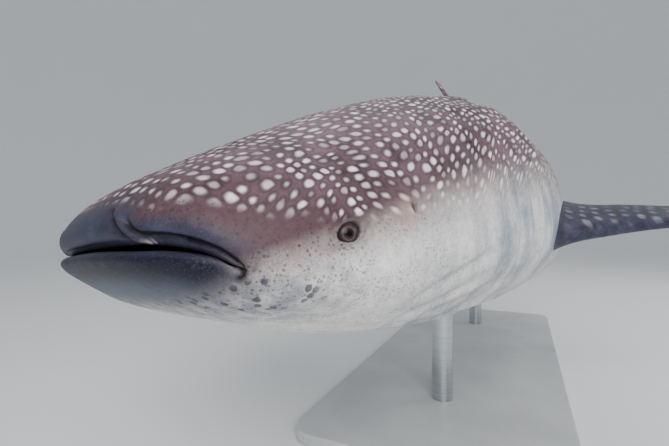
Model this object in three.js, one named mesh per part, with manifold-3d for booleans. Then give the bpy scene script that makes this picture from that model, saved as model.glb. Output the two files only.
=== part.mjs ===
// Life-size display model of a young whale shark, swimming, on a flat base with two rods.
// Millimetres. The shark's own axes: +X from snout to tail, -Y its left side, +Z up, with x = 0 at
// the tip of the snout and z = 0 near the level of the mouth. The finished model stands on z = 0.
import * as THREE from 'three';
import { mergeVertices } from 'three/addons/utils/BufferGeometryUtils.js';
import Module from 'manifold-3d';

const wasm = await Module();
wasm.setup();

// Driving dimensions
const TOTAL_LENGTH = 6000;
const GAP = 0.3;
const BANK = THREE.MathUtils.degToRad(6);
const RIDE_HEIGHT = 930;
const BASE_CENTRE_X = 2350;
const BODY_SWAY = 0.26 * TOTAL_LENGTH;
const SWAY_START = 0.10 * TOTAL_LENGTH;
const BODY_ARCH = 0.04 * TOTAL_LENGTH;
const ARCH_START = 0.15 * TOTAL_LENGTH;

// Where the body is divided
const JAW_END = 0.125 * TOTAL_LENGTH;
const GILLS_END = 0.203 * TOTAL_LENGTH;
const TORSO_END = 0.524 * TOTAL_LENGTH;
const TAIL_END = 0.832 * TOTAL_LENGTH;

// The head, seen from above, is a superellipse this long and as wide as the body behind it
const SNOUT_LENGTH = 0.0766 * TOTAL_LENGTH;
const SNOUT_SQUARENESS = 2.86;
const MOUTH_CORNER_X = 0.0249 * TOTAL_LENGTH;
const MOUTH_GAP = 13;
const MOUTH_DEPTH = 105;
// A lip is rounded over `rise` above or below the mouth line, and draws back by `depth`
const UPPER_LIP = { rise: 34, depth: 25 };
const LOWER_LIP = { rise: 18, depth: 17 };
// A groove parts the upper lip from the cheek, behind the nostril; start and full are shares of the width
const LIP_FOLD = { height: 18, reach: 7, depth: 8, start: 0.54, full: 0.62 };

// A nostril is a slanted groove with a flap behind it that hangs to the mouth. Both run between two
// points, each given by its distance from the middle and its height above the mouth line.
const NOSTRIL = { top: [175, 74], foot: [229, 20], width: 9, sink: 13 };
const NOSTRIL_FLAP = { top: [207, 66], foot: [271, 16], width: 11, proud: 8 };

// Eyes, the lids round them, and spiracles
const EYE = { x: 0.0561 * TOTAL_LENGTH, z: -0.0064 * TOTAL_LENGTH, radius: 27, proud: 6 };
const EYELID = { radius: 32, thickness: 7, sink: 2, length: 1.06, height: 0.96 };
const EYE_SOCKET = { radius: 31, depth: 28, out: 15 };
const SPIRACLE = {
  x: 0.0881 * TOTAL_LENGTH, z: 0.0015 * TOTAL_LENGTH, length: 26, height: 38, depth: 20, turn: 0.35,
};

// Gill slits
const GILL_COUNT = 5;
const FIRST_GILL = 0.1385 * TOTAL_LENGTH;
const GILL_PITCH = 0.0138 * TOTAL_LENGTH;
const GILL_FLAP = 15;
const GILL_LEAN = 26;
const GILL_TOP_ANGLE = 0.85;
const GILL_FOOT_ANGLE = 0.62;

// Each flank has three long ridges; the lowest runs out into the keel beside the tail stalk
const RIDGE_COLUMNS = [6, 9, 12];
const UPPER_COLUMNS = 14;
const LOWER_COLUMNS = 10;
const RIDGE_HEIGHT = 13;
const KEEL_HEIGHT = 34;

// Body outline as fractions of the total length: [x, back height], [x, belly depth], [x, half width]
const BACK = [
  [0, 0.0238], [0.02, 0.0286], [0.05, 0.0359], [0.10, 0.0568], [0.15, 0.0747], [0.20, 0.0851],
  [0.28, 0.0864], [0.36, 0.0880], [0.44, 0.0859], [0.52, 0.0800], [0.60, 0.0715], [0.68, 0.0610],
  [0.74, 0.0529], [0.79, 0.0485], [0.84, 0.0540],
];
const BELLY = [
  [0, 0.0191], [0.02, 0.0282], [0.05, 0.0373], [0.10, 0.0499], [0.15, 0.0546], [0.20, 0.0551],
  [0.28, 0.0585], [0.36, 0.0611], [0.44, 0.0572], [0.52, 0.0480], [0.60, 0.0355], [0.68, 0.0212],
  [0.74, 0.0099], [0.79, 0.0035], [0.84, 0.0060],
];
const WIDTH = [
  [0, 0.0776], [0.05, 0.0776], [0.10, 0.0799], [0.15, 0.0863], [0.20, 0.0914], [0.28, 0.0913],
  [0.36, 0.0795], [0.44, 0.0665], [0.52, 0.0545], [0.60, 0.0430], [0.68, 0.0320], [0.74, 0.0240],
  [0.79, 0.0165], [0.82, 0.0090], [0.84, 0.0070],
];
// Height of the mouth line, and behind it of the widest line of the flank
const SIDE_LINE = [
  [0, -0.0056], [0.004, -0.0066], [0.010, -0.0074], [0.0175, -0.0098], [0.0249, -0.0145],
  [0.0375, -0.0181], [0.05, -0.0177], [0.10, -0.0094], [0.20, -0.0007], [0.50, 0.002], [0.74, 0.020],
  [0.84, 0.024],
];
// Squareness of the body's section
const SECTION = [[0, 2.33], [0.20, 2.33], [0.40, 2.2], [0.60, 2.05], [0.84, 2.0]];
// Angles of the three ridges above the side line, in degrees, along the body
const RIDGE_ANGLES = [
  [[0, 46], [0.20, 46], [0.50, 34], [0.74, 6], [0.84, 3]],
  [[0, 60], [0.20, 60], [0.50, 52], [0.74, 36], [0.84, 32]],
  [[0, 75], [0.20, 75], [0.50, 71], [0.74, 62], [0.84, 60]],
];

const COLOURS = {
  back: 0x564a50,
  jaw: 0x77818a,
  flank: 0x6a6268,
  fin: 0x4d454b,
  eye: 0x1d1a1f,
  base: 0xb9bcbd,
  rod: 0x9aa0a4,
};

// Monotone cubic curve through [x, y] points, level beyond both ends
function curveThrough(points, unit = 1) {
  const xs = points.map((p) => p[0] * unit);
  const ys = points.map((p) => p[1] * unit);
  const last = xs.length - 1;
  const step = xs.slice(1).map((x, i) => x - xs[i]);
  const rise = step.map((h, i) => (ys[i + 1] - ys[i]) / h);
  const slope = ys.map((_, i) => {
    if (i === 0) return rise[0];
    if (i === last) return rise[last - 1];
    if (rise[i - 1] * rise[i] <= 0) return 0;
    const a = 2 * step[i] + step[i - 1];
    const b = step[i] + 2 * step[i - 1];
    return (a + b) / (a / rise[i - 1] + b / rise[i]);
  });
  return (x) => {
    const at = Math.min(Math.max(x, xs[0]), xs[last]);
    let i = 0;
    while (i < last - 1 && at > xs[i + 1]) i += 1;
    const h = step[i];
    const t = (at - xs[i]) / h;
    return ys[i] * (1 + 2 * t) * (1 - t) ** 2 + h * slope[i] * t * (1 - t) ** 2
      + ys[i + 1] * t * t * (3 - 2 * t) + h * slope[i + 1] * t * t * (t - 1);
  };
}

const backHeight = curveThrough(BACK, TOTAL_LENGTH);
const bellyDepth = curveThrough(BELLY, TOTAL_LENGTH);
const bodyWidth = curveThrough(WIDTH, TOTAL_LENGTH);
const sideLine = curveThrough(SIDE_LINE, TOTAL_LENGTH);
const squareness = curveThrough(SECTION.map(([x, m]) => [x * TOTAL_LENGTH, m]));
const ridgeAngles = RIDGE_ANGLES.map(
  (knots) => curveThrough(knots.map(([x, angle]) => [x * TOTAL_LENGTH, THREE.MathUtils.degToRad(angle)])),
);

const clamp01 = (t) => Math.min(Math.max(t, 0), 1);
const smooth = (from, to, x) => {
  const t = clamp01((x - from) / (to - from));
  return t * t * (3 - 2 * t);
};

// The swimming bend: the axis swings to the right by half a cosine wave, each section turns with it,
// and another half wave lifts the axis towards the tail. A paired fin is stiff, so all of it goes
// with the section at its root.
const wavePhase = (x, start) => clamp01((x - start) / (TOTAL_LENGTH - start)) * Math.PI;

function bend([x, y, z], root = x) {
  const phase = wavePhase(root, SWAY_START);
  const lift = BODY_ARCH * (1 - Math.cos(wavePhase(root, ARCH_START))) / 2;
  const sway = BODY_SWAY * (1 - Math.cos(phase)) / 2;
  const lean = Math.atan(BODY_SWAY * Math.PI * Math.sin(phase) / (2 * (TOTAL_LENGTH - SWAY_START)));
  const along = x - root;
  return [
    root + along * Math.cos(lean) - y * Math.sin(lean),
    sway + along * Math.sin(lean) + y * Math.cos(lean),
    z + lift,
  ];
}

// How near the snout's outline a point of the plan lies: 1 on the outline, less inside
function outlineShare(x, y) {
  const ahead = clamp01(1 - x / SNOUT_LENGTH);
  return (ahead ** SNOUT_SQUARENESS + (Math.abs(y) / bodyWidth(x)) ** SNOUT_SQUARENESS)
    ** (1 / SNOUT_SQUARENESS);
}

function halfWidth(x) {
  const ahead = clamp01(1 - x / SNOUT_LENGTH);
  return bodyWidth(x) * (1 - ahead ** SNOUT_SQUARENESS) ** (1 / SNOUT_SQUARENESS);
}

// The x of the snout's outline at a distance y from the middle
function outlineX(y) {
  const share = Math.min(Math.abs(y) / bodyWidth(0), 1);
  return SNOUT_LENGTH * (1 - (1 - share ** SNOUT_SQUARENESS) ** (1 / SNOUT_SQUARENESS));
}

// Height of the plain body surface, above (up = 1) or below (up = -1) the side line
function surfaceZ(x, y, up) {
  const m = squareness(x);
  const share = (1 - Math.min(outlineShare(x, y), 1) ** m) ** (1 / m);
  const line = sideLine(x);
  return up > 0 ? line + (backHeight(x) - line) * share : line - (bellyDepth(x) + line) * share;
}

// Angles of the columns of one quarter, from the side to the top or the belly
function columnAngles(x, up) {
  if (up < 0) {
    return Array.from({ length: LOWER_COLUMNS + 1 }, (_, j) => (j / LOWER_COLUMNS) * Math.PI / 2);
  }
  const knots = [0, ...RIDGE_COLUMNS, UPPER_COLUMNS];
  const angles = [0, ...ridgeAngles.map((angle) => angle(x)), Math.PI / 2];
  return Array.from({ length: UPPER_COLUMNS + 1 }, (_, j) => {
    let k = 0;
    while (k < knots.length - 2 && j > knots[k + 1]) k += 1;
    const t = (j - knots[k]) / (knots[k + 1] - knots[k]);
    return angles[k] + (angles[k + 1] - angles[k]) * t;
  });
}

// One half section has its columns from the left side over the back (up = 1), or from the right side
// under the belly (up = -1). Each entry gives its column, its side and its angle from the side line.
function halfSection(x, up, quarter = columnAngles(x, up)) {
  const last = quarter.length - 1;
  const near = quarter.map((angle, j) => ({ column: j, side: -up, angle }));
  const far = near.slice(0, last).reverse().map(({ column, angle }) => ({ column, side: up, angle }));
  return [...near, ...far];
}

// Relief of the ridges and of the gill flaps, measured outwards
function ridgeRelief(x, column) {
  const start = smooth(0.12 * TOTAL_LENGTH, 0.22 * TOTAL_LENGTH, x);
  const end = 1 - smooth(0.76 * TOTAL_LENGTH, 0.83 * TOTAL_LENGTH, x);
  const keel = smooth(0.52 * TOTAL_LENGTH, 0.72 * TOTAL_LENGTH, x);
  if (column === RIDGE_COLUMNS[0]) {
    return start * end * (RIDGE_HEIGHT + (KEEL_HEIGHT - RIDGE_HEIGHT) * keel);
  }
  const ridged = RIDGE_COLUMNS.includes(column) || column === UPPER_COLUMNS;
  return ridged ? start * end * RIDGE_HEIGHT * (1 - 0.4 * keel) : 0;
}

// How much of the gill flaps' relief a column has: all beside the line of the flank, none on the back
const gillWindow = (angle, up) => 1 - smooth(0.55, 1, angle / (up > 0 ? GILL_TOP_ANGLE : GILL_FOOT_ANGLE));

// Points of one half section at x; flap is the gill relief there and shift moves it along the body
function sectionRow(x, up, { flap = 0, shift = 0, quarter } = {}) {
  const m = squareness(x);
  const line = sideLine(x);
  const reach = up > 0 ? backHeight(x) - line : bellyDepth(x) + line;
  return halfSection(x, up, quarter).map(({ column, side, angle }) => {
    const across = Math.abs(Math.cos(angle)) ** (2 / m);
    const rise = Math.abs(Math.sin(angle)) ** (2 / m);
    const relief = (up > 0 ? ridgeRelief(x, column) : 0) + flap * gillWindow(angle, up);
    const moved = x + shift * (up * rise) * gillWindow(angle, up);
    return [
      moved,
      side * (bodyWidth(x) * across + relief * Math.cos(angle)),
      line + up * (reach * rise + relief * Math.sin(angle)),
    ];
  });
}

// Inward direction, in plan, from the snout's outline
function inward(x, y) {
  const ahead = clamp01(1 - x / SNOUT_LENGTH);
  const dx = ahead ** (SNOUT_SQUARENESS - 1) / SNOUT_LENGTH;
  const dy = (Math.abs(y) / bodyWidth(x)) ** (SNOUT_SQUARENESS - 1) / bodyWidth(x);
  const size = Math.hypot(dx, dy) || 1;
  return [dx / size, -Math.sign(y) * dy / size];
}

// Plan position of the snout's rows: sweep 0 is the line of the lips from corner to corner, and
// sweep 90 degrees is the plain section where the snout ends
function snoutPlan(sweep, sample) {
  const m = squareness(0);
  const across = Math.abs(Math.cos(sample.angle)) ** (2 / m);
  const middle = SNOUT_LENGTH * (1 - Math.cos(sweep) ** (2 / m));
  const side = MOUTH_CORNER_X + (SNOUT_LENGTH - MOUTH_CORNER_X) * (sweep / (Math.PI / 2));
  const toSide = clamp01(outlineX(across * halfWidth(MOUTH_CORNER_X)) / MOUTH_CORNER_X);
  return [middle + (side - middle) * toSide, sample.side * across * halfWidth(side)];
}

// Head and jaw share the angles of their columns, so that they part along the same lines
const HEAD_QUARTER = columnAngles(0, 1);

// How open the mouth is at a column: 1 across the front, 0 at the corners
const FULLY_OPEN_ANGLE = 0.75;
const FOLD_END_ANGLE = 0.34;
const openShare = (angle) => smooth(0, FULLY_OPEN_ANGLE, angle);

// One row of the snout, of the upper (up = 1) or the lower lip and what lies behind it
function snoutRow(sweep, up) {
  const lip = up > 0 ? UPPER_LIP : LOWER_LIP;
  return halfSection(0, up, HEAD_QUARTER).map((sample) => {
    const [x, y] = snoutPlan(sweep, sample);
    const line = sideLine(x);
    const height = Math.abs(surfaceZ(x, y, up) - line);
    const [inX, inY] = inward(x, y);
    const open = openShare(sample.angle);
    const low = clamp01(1 - height / lip.rise);
    const tuck = open * lip.depth * (1 - Math.sqrt(1 - low * low));
    const behindNostril = smooth(LIP_FOLD.start, LIP_FOLD.full, Math.abs(y) / bodyWidth(0))
      * smooth(0, FOLD_END_ANGLE, sample.angle);
    const groove = Math.exp(-(((height - LIP_FOLD.height) / LIP_FOLD.reach) ** 2));
    const fold = up > 0 ? LIP_FOLD.depth * behindNostril * groove : 0;
    const spread = (open * Math.cos(sweep) * MOUTH_GAP) / 2 + GAP / 2;
    return [x + inX * (tuck + fold), y + inY * (tuck + fold), line + up * (height + spread)];
  });
}

// The inside of the mouth: from the lip inwards, closing on the flat parting of head and jaw
function mouthRow(depth, gapShare, up) {
  return halfSection(0, up, HEAD_QUARTER).map((sample) => {
    const [x, y] = snoutPlan(0, sample);
    const open = openShare(sample.angle);
    const [inX, inY] = inward(x, y);
    const inset = depth * open;
    const inside = x + inX * inset;
    const spread = (open * MOUTH_GAP * gapShare) / 2 + GAP / 2;
    return [inside, y + inY * inset, sideLine(inside) + up * spread];
  });
}

// Triangles of one closed body
class Surface {
  constructor() {
    this.corners = [];
  }

  triangle(a, b, c) {
    const same = (p, q) => Math.hypot(p[0] - q[0], p[1] - q[1], p[2] - q[2]) < 1e-4;
    if (same(a, b) || same(b, c) || same(a, c)) return;
    this.corners.push(...a, ...b, ...c);
  }

  quad(a, b, c, d) {
    this.triangle(a, b, c);
    this.triangle(a, c, d);
  }

  between(rowA, rowB, closed = false) {
    const count = rowA.length;
    const steps = closed ? count : count - 1;
    for (let j = 0; j < steps; j += 1) {
      const k = (j + 1) % count;
      this.quad(rowA[j], rowB[j], rowB[k], rowA[k]);
    }
  }

  // Fills an arc whose points mirror each other with level strips from side to side
  fill(arc, atStart) {
    const last = arc.length - 1;
    for (let j = 0; j < Math.floor(last / 2) + (last % 2); j += 1) {
      const strip = [arc[j], arc[j + 1], arc[last - j - 1], arc[last - j]];
      if (atStart) this.quad(...strip);
      else this.quad(strip[1], strip[0], strip[3], strip[2]);
    }
  }

  geometry() {
    const loose = new THREE.BufferGeometry();
    loose.setAttribute('position', new THREE.Float32BufferAttribute(this.corners, 3));
    const merged = mergeVertices(loose, 1e-3);
    return enclosedVolume(merged) < 0 ? turned(merged) : merged;
  }
}

function enclosedVolume(geometry) {
  const p = geometry.attributes.position;
  const index = geometry.index.array;
  const [a, b, c] = [new THREE.Vector3(), new THREE.Vector3(), new THREE.Vector3()];
  let six = 0;
  for (let i = 0; i < index.length; i += 3) {
    a.fromBufferAttribute(p, index[i]);
    b.fromBufferAttribute(p, index[i + 1]);
    c.fromBufferAttribute(p, index[i + 2]);
    six += a.dot(b.cross(c));
  }
  return six / 6;
}

function turned(geometry) {
  const index = Array.from(geometry.index.array);
  for (let i = 0; i < index.length; i += 3) [index[i + 1], index[i + 2]] = [index[i + 2], index[i + 1]];
  geometry.setIndex(index);
  return geometry;
}

// Solids for joining and cutting
function toSolid(geometry) {
  const bare = geometry.clone();
  bare.deleteAttribute('normal');
  bare.deleteAttribute('uv');
  const merged = mergeVertices(bare, 1e-3);
  return new wasm.Manifold(new wasm.Mesh({
    numProp: 3,
    vertProperties: new Float32Array(merged.attributes.position.array),
    triVerts: new Uint32Array(merged.index.array),
  }));
}

function toGeometry(solid) {
  const pieces = solid.decompose();
  const largest = pieces.reduce((best, piece) => (piece.volume() > best.volume() ? piece : best));
  const mesh = largest.getMesh();
  const geometry = new THREE.BufferGeometry();
  geometry.setAttribute('position', new THREE.Float32BufferAttribute(mesh.vertProperties, 3));
  geometry.setIndex(Array.from(mesh.triVerts));
  return geometry;
}

// The same closed surface a little larger all round
function grown(geometry, distance) {
  const larger = geometry.clone();
  larger.computeVertexNormals();
  const p = larger.attributes.position;
  const n = larger.attributes.normal;
  const point = new THREE.Vector3();
  const normal = new THREE.Vector3();
  for (let i = 0; i < p.count; i += 1) {
    point.fromBufferAttribute(p, i).addScaledVector(normal.fromBufferAttribute(n, i), distance);
    p.setXYZ(i, ...point.toArray());
  }
  return larger;
}

// Body sections. The parting of head and jaw has the same diagonals on both.
function halfBody(rows, up) {
  const surface = new Surface();
  const bent = rows.map((row) => row.map((point) => bend(point)));
  bent.slice(1).forEach((row, i) => {
    surface.between(bent[i], row);
    const [before, last] = [bent[i], row.length - 1];
    const strip = [row[0], before[0], before[last], row[last]];
    if (up > 0) surface.quad(...strip);
    else surface.quad(strip[1], strip[2], strip[3], strip[0]);
  });
  surface.fill(bent[0], true);
  surface.fill(bent[bent.length - 1], false);
  return surface.geometry();
}

function ringBody(rows) {
  const surface = new Surface();
  const bent = rows.map((row) => row.map((point) => bend(point)));
  bent.slice(1).forEach((row, i) => surface.between(bent[i], row, true));
  const half = 2 * UPPER_COLUMNS;
  const arcs = (ring) => [ring.slice(0, half + 1), [...ring.slice(half), ring[0]]];
  arcs(bent[0]).forEach((arc) => surface.fill(arc, true));
  arcs(bent[bent.length - 1]).forEach((arc) => surface.fill(arc, false));
  return surface.geometry();
}

const ring = (x, options) => [
  ...sectionRow(x, 1, options),
  ...sectionRow(x, -1, options).slice(1, -1),
];

const stations = (from, to, count) => {
  const step = (to - from) / count;
  return Array.from({ length: count + 1 }, (_, i) => from + step * i);
};

// Rows of the snout by their share of the height of lip and brow, closest together at the lip
const LIP_SHARES = [0, 0.04, 0.075, 0.105, 0.135, 0.18, 0.25, 0.35, 0.47, 0.59, 0.71, 0.82, 0.92, 1];
// Rows inside the mouth, from its end to the lips: shares of the mouth's depth and of its gap
const MOUTH_ROWS = [[1, 0], [0.8, 0.8], [0.36, 1]];
const NAPE_ROWS = 6;

function headHalf(up) {
  const m = squareness(0);
  const sweeps = LIP_SHARES.map((share) => Math.asin(share ** (m / 2)));
  const lips = MOUTH_ROWS.map(([depth, gap]) => mouthRow(depth * MOUTH_DEPTH, gap, up));
  const snout = sweeps.slice(0, -1).map((sweep) => snoutRow(sweep, up));
  const nape = stations(SNOUT_LENGTH, JAW_END - GAP / 2, NAPE_ROWS).map((x) => partedRow(x, up));
  return halfBody([...lips, ...snout, ...nape], up);
}

// A plain half section, drawn back from the parting of head and jaw
function partedRow(x, up) {
  return sectionRow(x, up, { quarter: HEAD_QUARTER }).map(([px, py, pz]) => [px, py, pz + (up * GAP) / 2]);
}

// Gill flaps: each rises towards the slit behind it and the next one starts lower. A flap's rows are
// given by their distance from the slit and the share of the flap's height.
const FLAP_ROWS = [[-GILL_PITCH / 2, 0.35], [-4, 1], [5, -0.35]];
const GILL_FADE = 22;

function gillRows() {
  const slits = Array.from({ length: GILL_COUNT }, (_, k) => FIRST_GILL + k * GILL_PITCH);
  const flaps = slits.flatMap((slit) => FLAP_ROWS.map(
    ([ahead, share]) => ring(slit + ahead, { flap: share * GILL_FLAP, shift: GILL_LEAN }),
  ));
  return [
    ring(JAW_END + GAP / 2), ...flaps, ring(slits[GILL_COUNT - 1] + GILL_FADE), ring(GILLS_END - GAP / 2),
  ];
}

const TORSO_ROWS = 15;
const TAIL_ROWS = 19;
const gillsShell = ringBody(gillRows());
const plainBody = (from, to, rows) => ringBody(stations(from, to, rows).map((x) => ring(x)));
const torsoShell = plainBody(GILLS_END + GAP / 2, TORSO_END - GAP / 2, TORSO_ROWS);
const tailTo = (end) => plainBody(TORSO_END + GAP / 2, end, TAIL_ROWS);
const tailShell = tailTo(TAIL_END);

// Eyes, spiracles and nostrils are cut into the head
function flankPoint(x, z, side) {
  const m = squareness(x);
  const line = sideLine(x);
  const reach = z > line ? backHeight(x) - line : bellyDepth(x) + line;
  const share = (1 - (Math.abs(z - line) / reach) ** m) ** (1 / m);
  const ahead = clamp01(1 - x / SNOUT_LENGTH);
  const y = bodyWidth(x) * Math.max(share ** SNOUT_SQUARENESS - ahead ** SNOUT_SQUARENESS, 0)
    ** (1 / SNOUT_SQUARENESS);
  return new THREE.Vector3(x, side * y, z);
}

function flankNormal(x, z, side) {
  const reach = 12;
  const along = flankPoint(x + reach, z, side).sub(flankPoint(x - reach, z, side));
  const upward = flankPoint(x, z + reach, side).sub(flankPoint(x, z - reach, side));
  return along.cross(upward).normalize().multiplyScalar(-side);
}

const UPWARD = new THREE.Vector3(0, 0, 1);
const turnTo = (direction) => new THREE.Quaternion().setFromUnitVectors(UPWARD, direction);

function ball(radii, centre, turn = new THREE.Quaternion(), columns = 18, rows = 10) {
  const geometry = new THREE.SphereGeometry(1, columns, rows);
  geometry.scale(...radii);
  geometry.applyQuaternion(turn);
  geometry.translate(centre.x, centre.y, centre.z);
  return geometry;
}

// A ball stretched between two points; its height is its own radius across the skin
function stretchedBall(from, to, width, height) {
  const along = to.clone().sub(from);
  const turn = turnTo(along.clone().normalize());
  const centre = from.clone().add(to).multiplyScalar(0.5);
  return ball([height, width, along.length() / 2], centre, turn, 12, 10);
}

function eyeCentre(side) {
  const skin = flankPoint(EYE.x, EYE.z, side);
  return skin.addScaledVector(flankNormal(EYE.x, EYE.z, side), EYE.proud - EYE.radius);
}

function eyeBall(side, extra = 0) {
  const radius = EYE.radius + extra;
  return ball([radius, radius, radius], eyeCentre(side));
}

function eyelids(side) {
  const normal = flankNormal(EYE.x, EYE.z, side);
  const skin = flankPoint(EYE.x, EYE.z, side);
  const rim = new THREE.TorusGeometry(EYELID.radius, EYELID.thickness, 8, 22);
  rim.scale(EYELID.length, EYELID.height, 1);
  rim.applyQuaternion(turnTo(normal));
  rim.translate(...skin.addScaledVector(normal, -EYELID.sink).toArray());
  return rim;
}

function headWithFeatures() {
  let solid = toSolid(headHalf(1));
  [-1, 1].forEach((side) => {
    const normal = flankNormal(EYE.x, EYE.z, side);
    solid = solid.add(toSolid(eyelids(side)));
    const socket = flankPoint(EYE.x, EYE.z, side).addScaledVector(normal, EYE_SOCKET.out);
    const { radius, depth } = EYE_SOCKET;
    solid = solid.subtract(toSolid(ball([radius, depth, radius], socket)));
    solid = solid.subtract(toSolid(eyeBall(side, GAP)));
    const pit = flankPoint(SPIRACLE.x, SPIRACLE.z, side);
    const pitTurn = new THREE.Quaternion().setFromAxisAngle(new THREE.Vector3(0, 1, 0), SPIRACLE.turn);
    const pitSize = [SPIRACLE.length / 2, SPIRACLE.depth, SPIRACLE.height / 2];
    solid = solid.subtract(toSolid(ball(pitSize, pit, pitTurn, 10, 6)));
    solid = nostril(solid, side);
  });
  return toGeometry(solid);
}

// A point of the snout's front, from its distance from the middle and its height above the mouth
function snoutPoint([y, height], side, out = 0) {
  let x = outlineX(y);
  const line = sideLine(x) + MOUTH_GAP / 2;
  while (surfaceZ(x, y, 1) < line + height) x += 1;
  const [inX, inY] = inward(x, y);
  return new THREE.Vector3(x - inX * out, side * (y - inY * out), line + height);
}

function nostril(head, side) {
  const [top, foot] = [NOSTRIL.top, NOSTRIL.foot].map((place) => snoutPoint(place, side));
  const groove = stretchedBall(top, foot, NOSTRIL.width, NOSTRIL.sink);
  const flapTop = snoutPoint(NOSTRIL_FLAP.top, side, -NOSTRIL_FLAP.proud / 2);
  const flapFoot = snoutPoint(NOSTRIL_FLAP.foot, side);
  const flap = stretchedBall(flapTop, flapFoot, NOSTRIL_FLAP.width, NOSTRIL_FLAP.proud);
  return head.subtract(toSolid(groove)).add(toSolid(flap));
}

// Fins
// A fin's section has a round leading edge and thins towards the trailing one, where it is `edge` thick
function finSection(count, edge) {
  const profile = (c) => 1.485 * Math.sqrt(c) - 0.63 * c - 1.758 * c ** 2 + 1.4215 * c ** 3
    - 0.5185 * c ** 4;
  return Array.from({ length: count }, (_, i) => {
    const turn = (i / count) * 2 * Math.PI;
    const chord = (1 - Math.cos(turn)) / 2;
    const face = Math.sign(Math.round(Math.sin(turn) * 1e6));
    return { chord, offset: face * profile(chord), edge: (face * edge) / 2 };
  });
}

// `at` maps span share, distance along the chord and offset from the fin's plane to the shark's axes;
// `lead` and `trail` give both edges, and `thick` the greatest thickness, by share of the span
function fin({ at, lead, trail, thick, shares, stiffAt, edge = 5, count = 16 }) {
  const surface = new Surface();
  const section = finSection(count, edge);
  const rows = shares.map((s) => section.map(({ chord, offset, edge: lip }) => {
    const along = lead(s) + chord * (trail(s) - lead(s));
    return bend(at(s, along, offset * thick(s) + lip), stiffAt);
  }));
  rows.slice(1).forEach((row, i) => surface.between(rows[i], row, true));
  const fillLoop = (row, atStart) => {
    const half = count / 2;
    for (let j = 0; j < half; j += 1) {
      const strip = [row[j], row[j + 1], row[(count - j - 1) % count], row[(count - j) % count]];
      if (atStart) surface.quad(...strip);
      else surface.quad(strip[1], strip[0], strip[3], strip[2]);
    }
  };
  fillLoop(rows[0], true);
  fillLoop(rows[rows.length - 1], false);
  return surface.geometry();
}

// A fin is cut back to the grown surface of the body sections that it grows from
function rooted(finGeometry, bodies) {
  const clearance = 1.4 * GAP;
  const cutters = bodies.map((body) => toSolid(grown(body, clearance)));
  return toGeometry(cutters.reduce((solid, cutter) => solid.subtract(cutter), toSolid(finGeometry)));
}

// Thickness along the span, from shares of the greatest thickness
const taper = (shares, thickness) => curveThrough(shares.map(([s, share]) => [s, share * thickness]));

const spanShares = [-0.12, 0, 0.06, 0.14, 0.26, 0.4, 0.55, 0.7, 0.82, 0.91, 0.97, 1];

const PECTORAL = {
  x: 0.211 * TOTAL_LENGTH, y: 0.085 * TOTAL_LENGTH, z: -0.014 * TOTAL_LENGTH,
  span: 0.152 * TOTAL_LENGTH, chord: 0.082 * TOTAL_LENGTH, thickness: 92, sag: 0.08,
  droop: THREE.MathUtils.degToRad(5), pitch: THREE.MathUtils.degToRad(18),
};

function pectoralFin(side) {
  const { x, y, z, span, chord, thickness, sag, droop, pitch } = PECTORAL;
  const lead = curveThrough([
    [-0.2, -40], [0, -12], [0.1, 25], [0.35, 190], [0.7, 480], [0.92, 740], [1, 850],
  ]);
  const trail = curveThrough([
    [-0.2, chord], [0, chord], [0.12, chord - 10], [0.35, 555], [0.7, 705], [0.92, 838], [1, 885],
  ]);
  const thick = taper([[-0.2, 1], [0, 1], [0.3, 0.66], [0.7, 0.34], [1, 0.11]], thickness);
  const at = (s, along, offset) => {
    const fall = s * span * Math.sin(droop) + sag * span * s * s;
    const rise = along * Math.sin(pitch) * (1 - 0.5 * clamp01(s));
    return [
      x + along * Math.cos(pitch) - offset * Math.sin(pitch),
      side * (y + s * span * Math.cos(droop) - offset * Math.sin(droop)),
      z - fall + rise + offset * Math.cos(pitch),
    ];
  };
  const stiffAt = x + chord / 2;
  return rooted(fin({ at, lead, trail, thick, shares: spanShares, stiffAt }), [gillsShell, torsoShell]);
}

// Upright fins on the middle line; up = -1 hangs the fin below the belly
// `lean` carries its tip sideways, and `twist` turns its chord there
function middleFin({ x, root, span, lead, trail, thickness, lean = 0, twist = 0, up = 1, body }) {
  const sideways = (s, along) => lean * s * Math.abs(s) - twist * Math.max(s, 0) * along;
  const at = (s, along, offset) => [x + along, offset + sideways(s, along), root + up * s * span];
  const thick = taper([[-0.2, 1], [0, 1], [0.3, 0.62], [0.8, 0.25], [1, 8 / thickness]], thickness);
  const edges = { lead: curveThrough(lead), trail: curveThrough(trail) };
  return rooted(fin({ at, ...edges, thick, shares: spanShares, count: 14 }), [body]);
}

const FIRST_DORSAL = {
  x: 0.395 * TOTAL_LENGTH, root: 0.082 * TOTAL_LENGTH, span: 0.122 * TOTAL_LENGTH,
  thickness: 78, lean: 346, twist: 0.3,
  lead: [[-0.2, -60], [0, -10], [0.12, 40], [0.4, 165], [0.75, 330], [0.93, 432], [1, 500]],
  trail: [[-0.2, 520], [0, 520], [0.08, 560], [0.16, 500], [0.45, 455], [0.75, 480], [0.93, 525],
    [1, 545]],
};
const SECOND_DORSAL = {
  x: 0.640 * TOTAL_LENGTH, root: 0.063 * TOTAL_LENGTH, span: 0.038 * TOTAL_LENGTH, thickness: 44,
  lead: [[-0.2, -20], [0, 0], [0.4, 70], [0.8, 150], [1, 205]],
  trail: [[-0.2, 235], [0, 240], [0.12, 262], [0.3, 215], [0.7, 205], [1, 228]],
};
const ANAL = {
  x: 0.660 * TOTAL_LENGTH, root: -0.022 * TOTAL_LENGTH, span: 0.040 * TOTAL_LENGTH, thickness: 40, up: -1,
  lead: [[-0.2, -20], [0, 0], [0.4, 75], [0.8, 160], [1, 215]],
  trail: [[-0.2, 225], [0, 230], [0.12, 250], [0.3, 212], [0.7, 215], [1, 238]],
};

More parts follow.
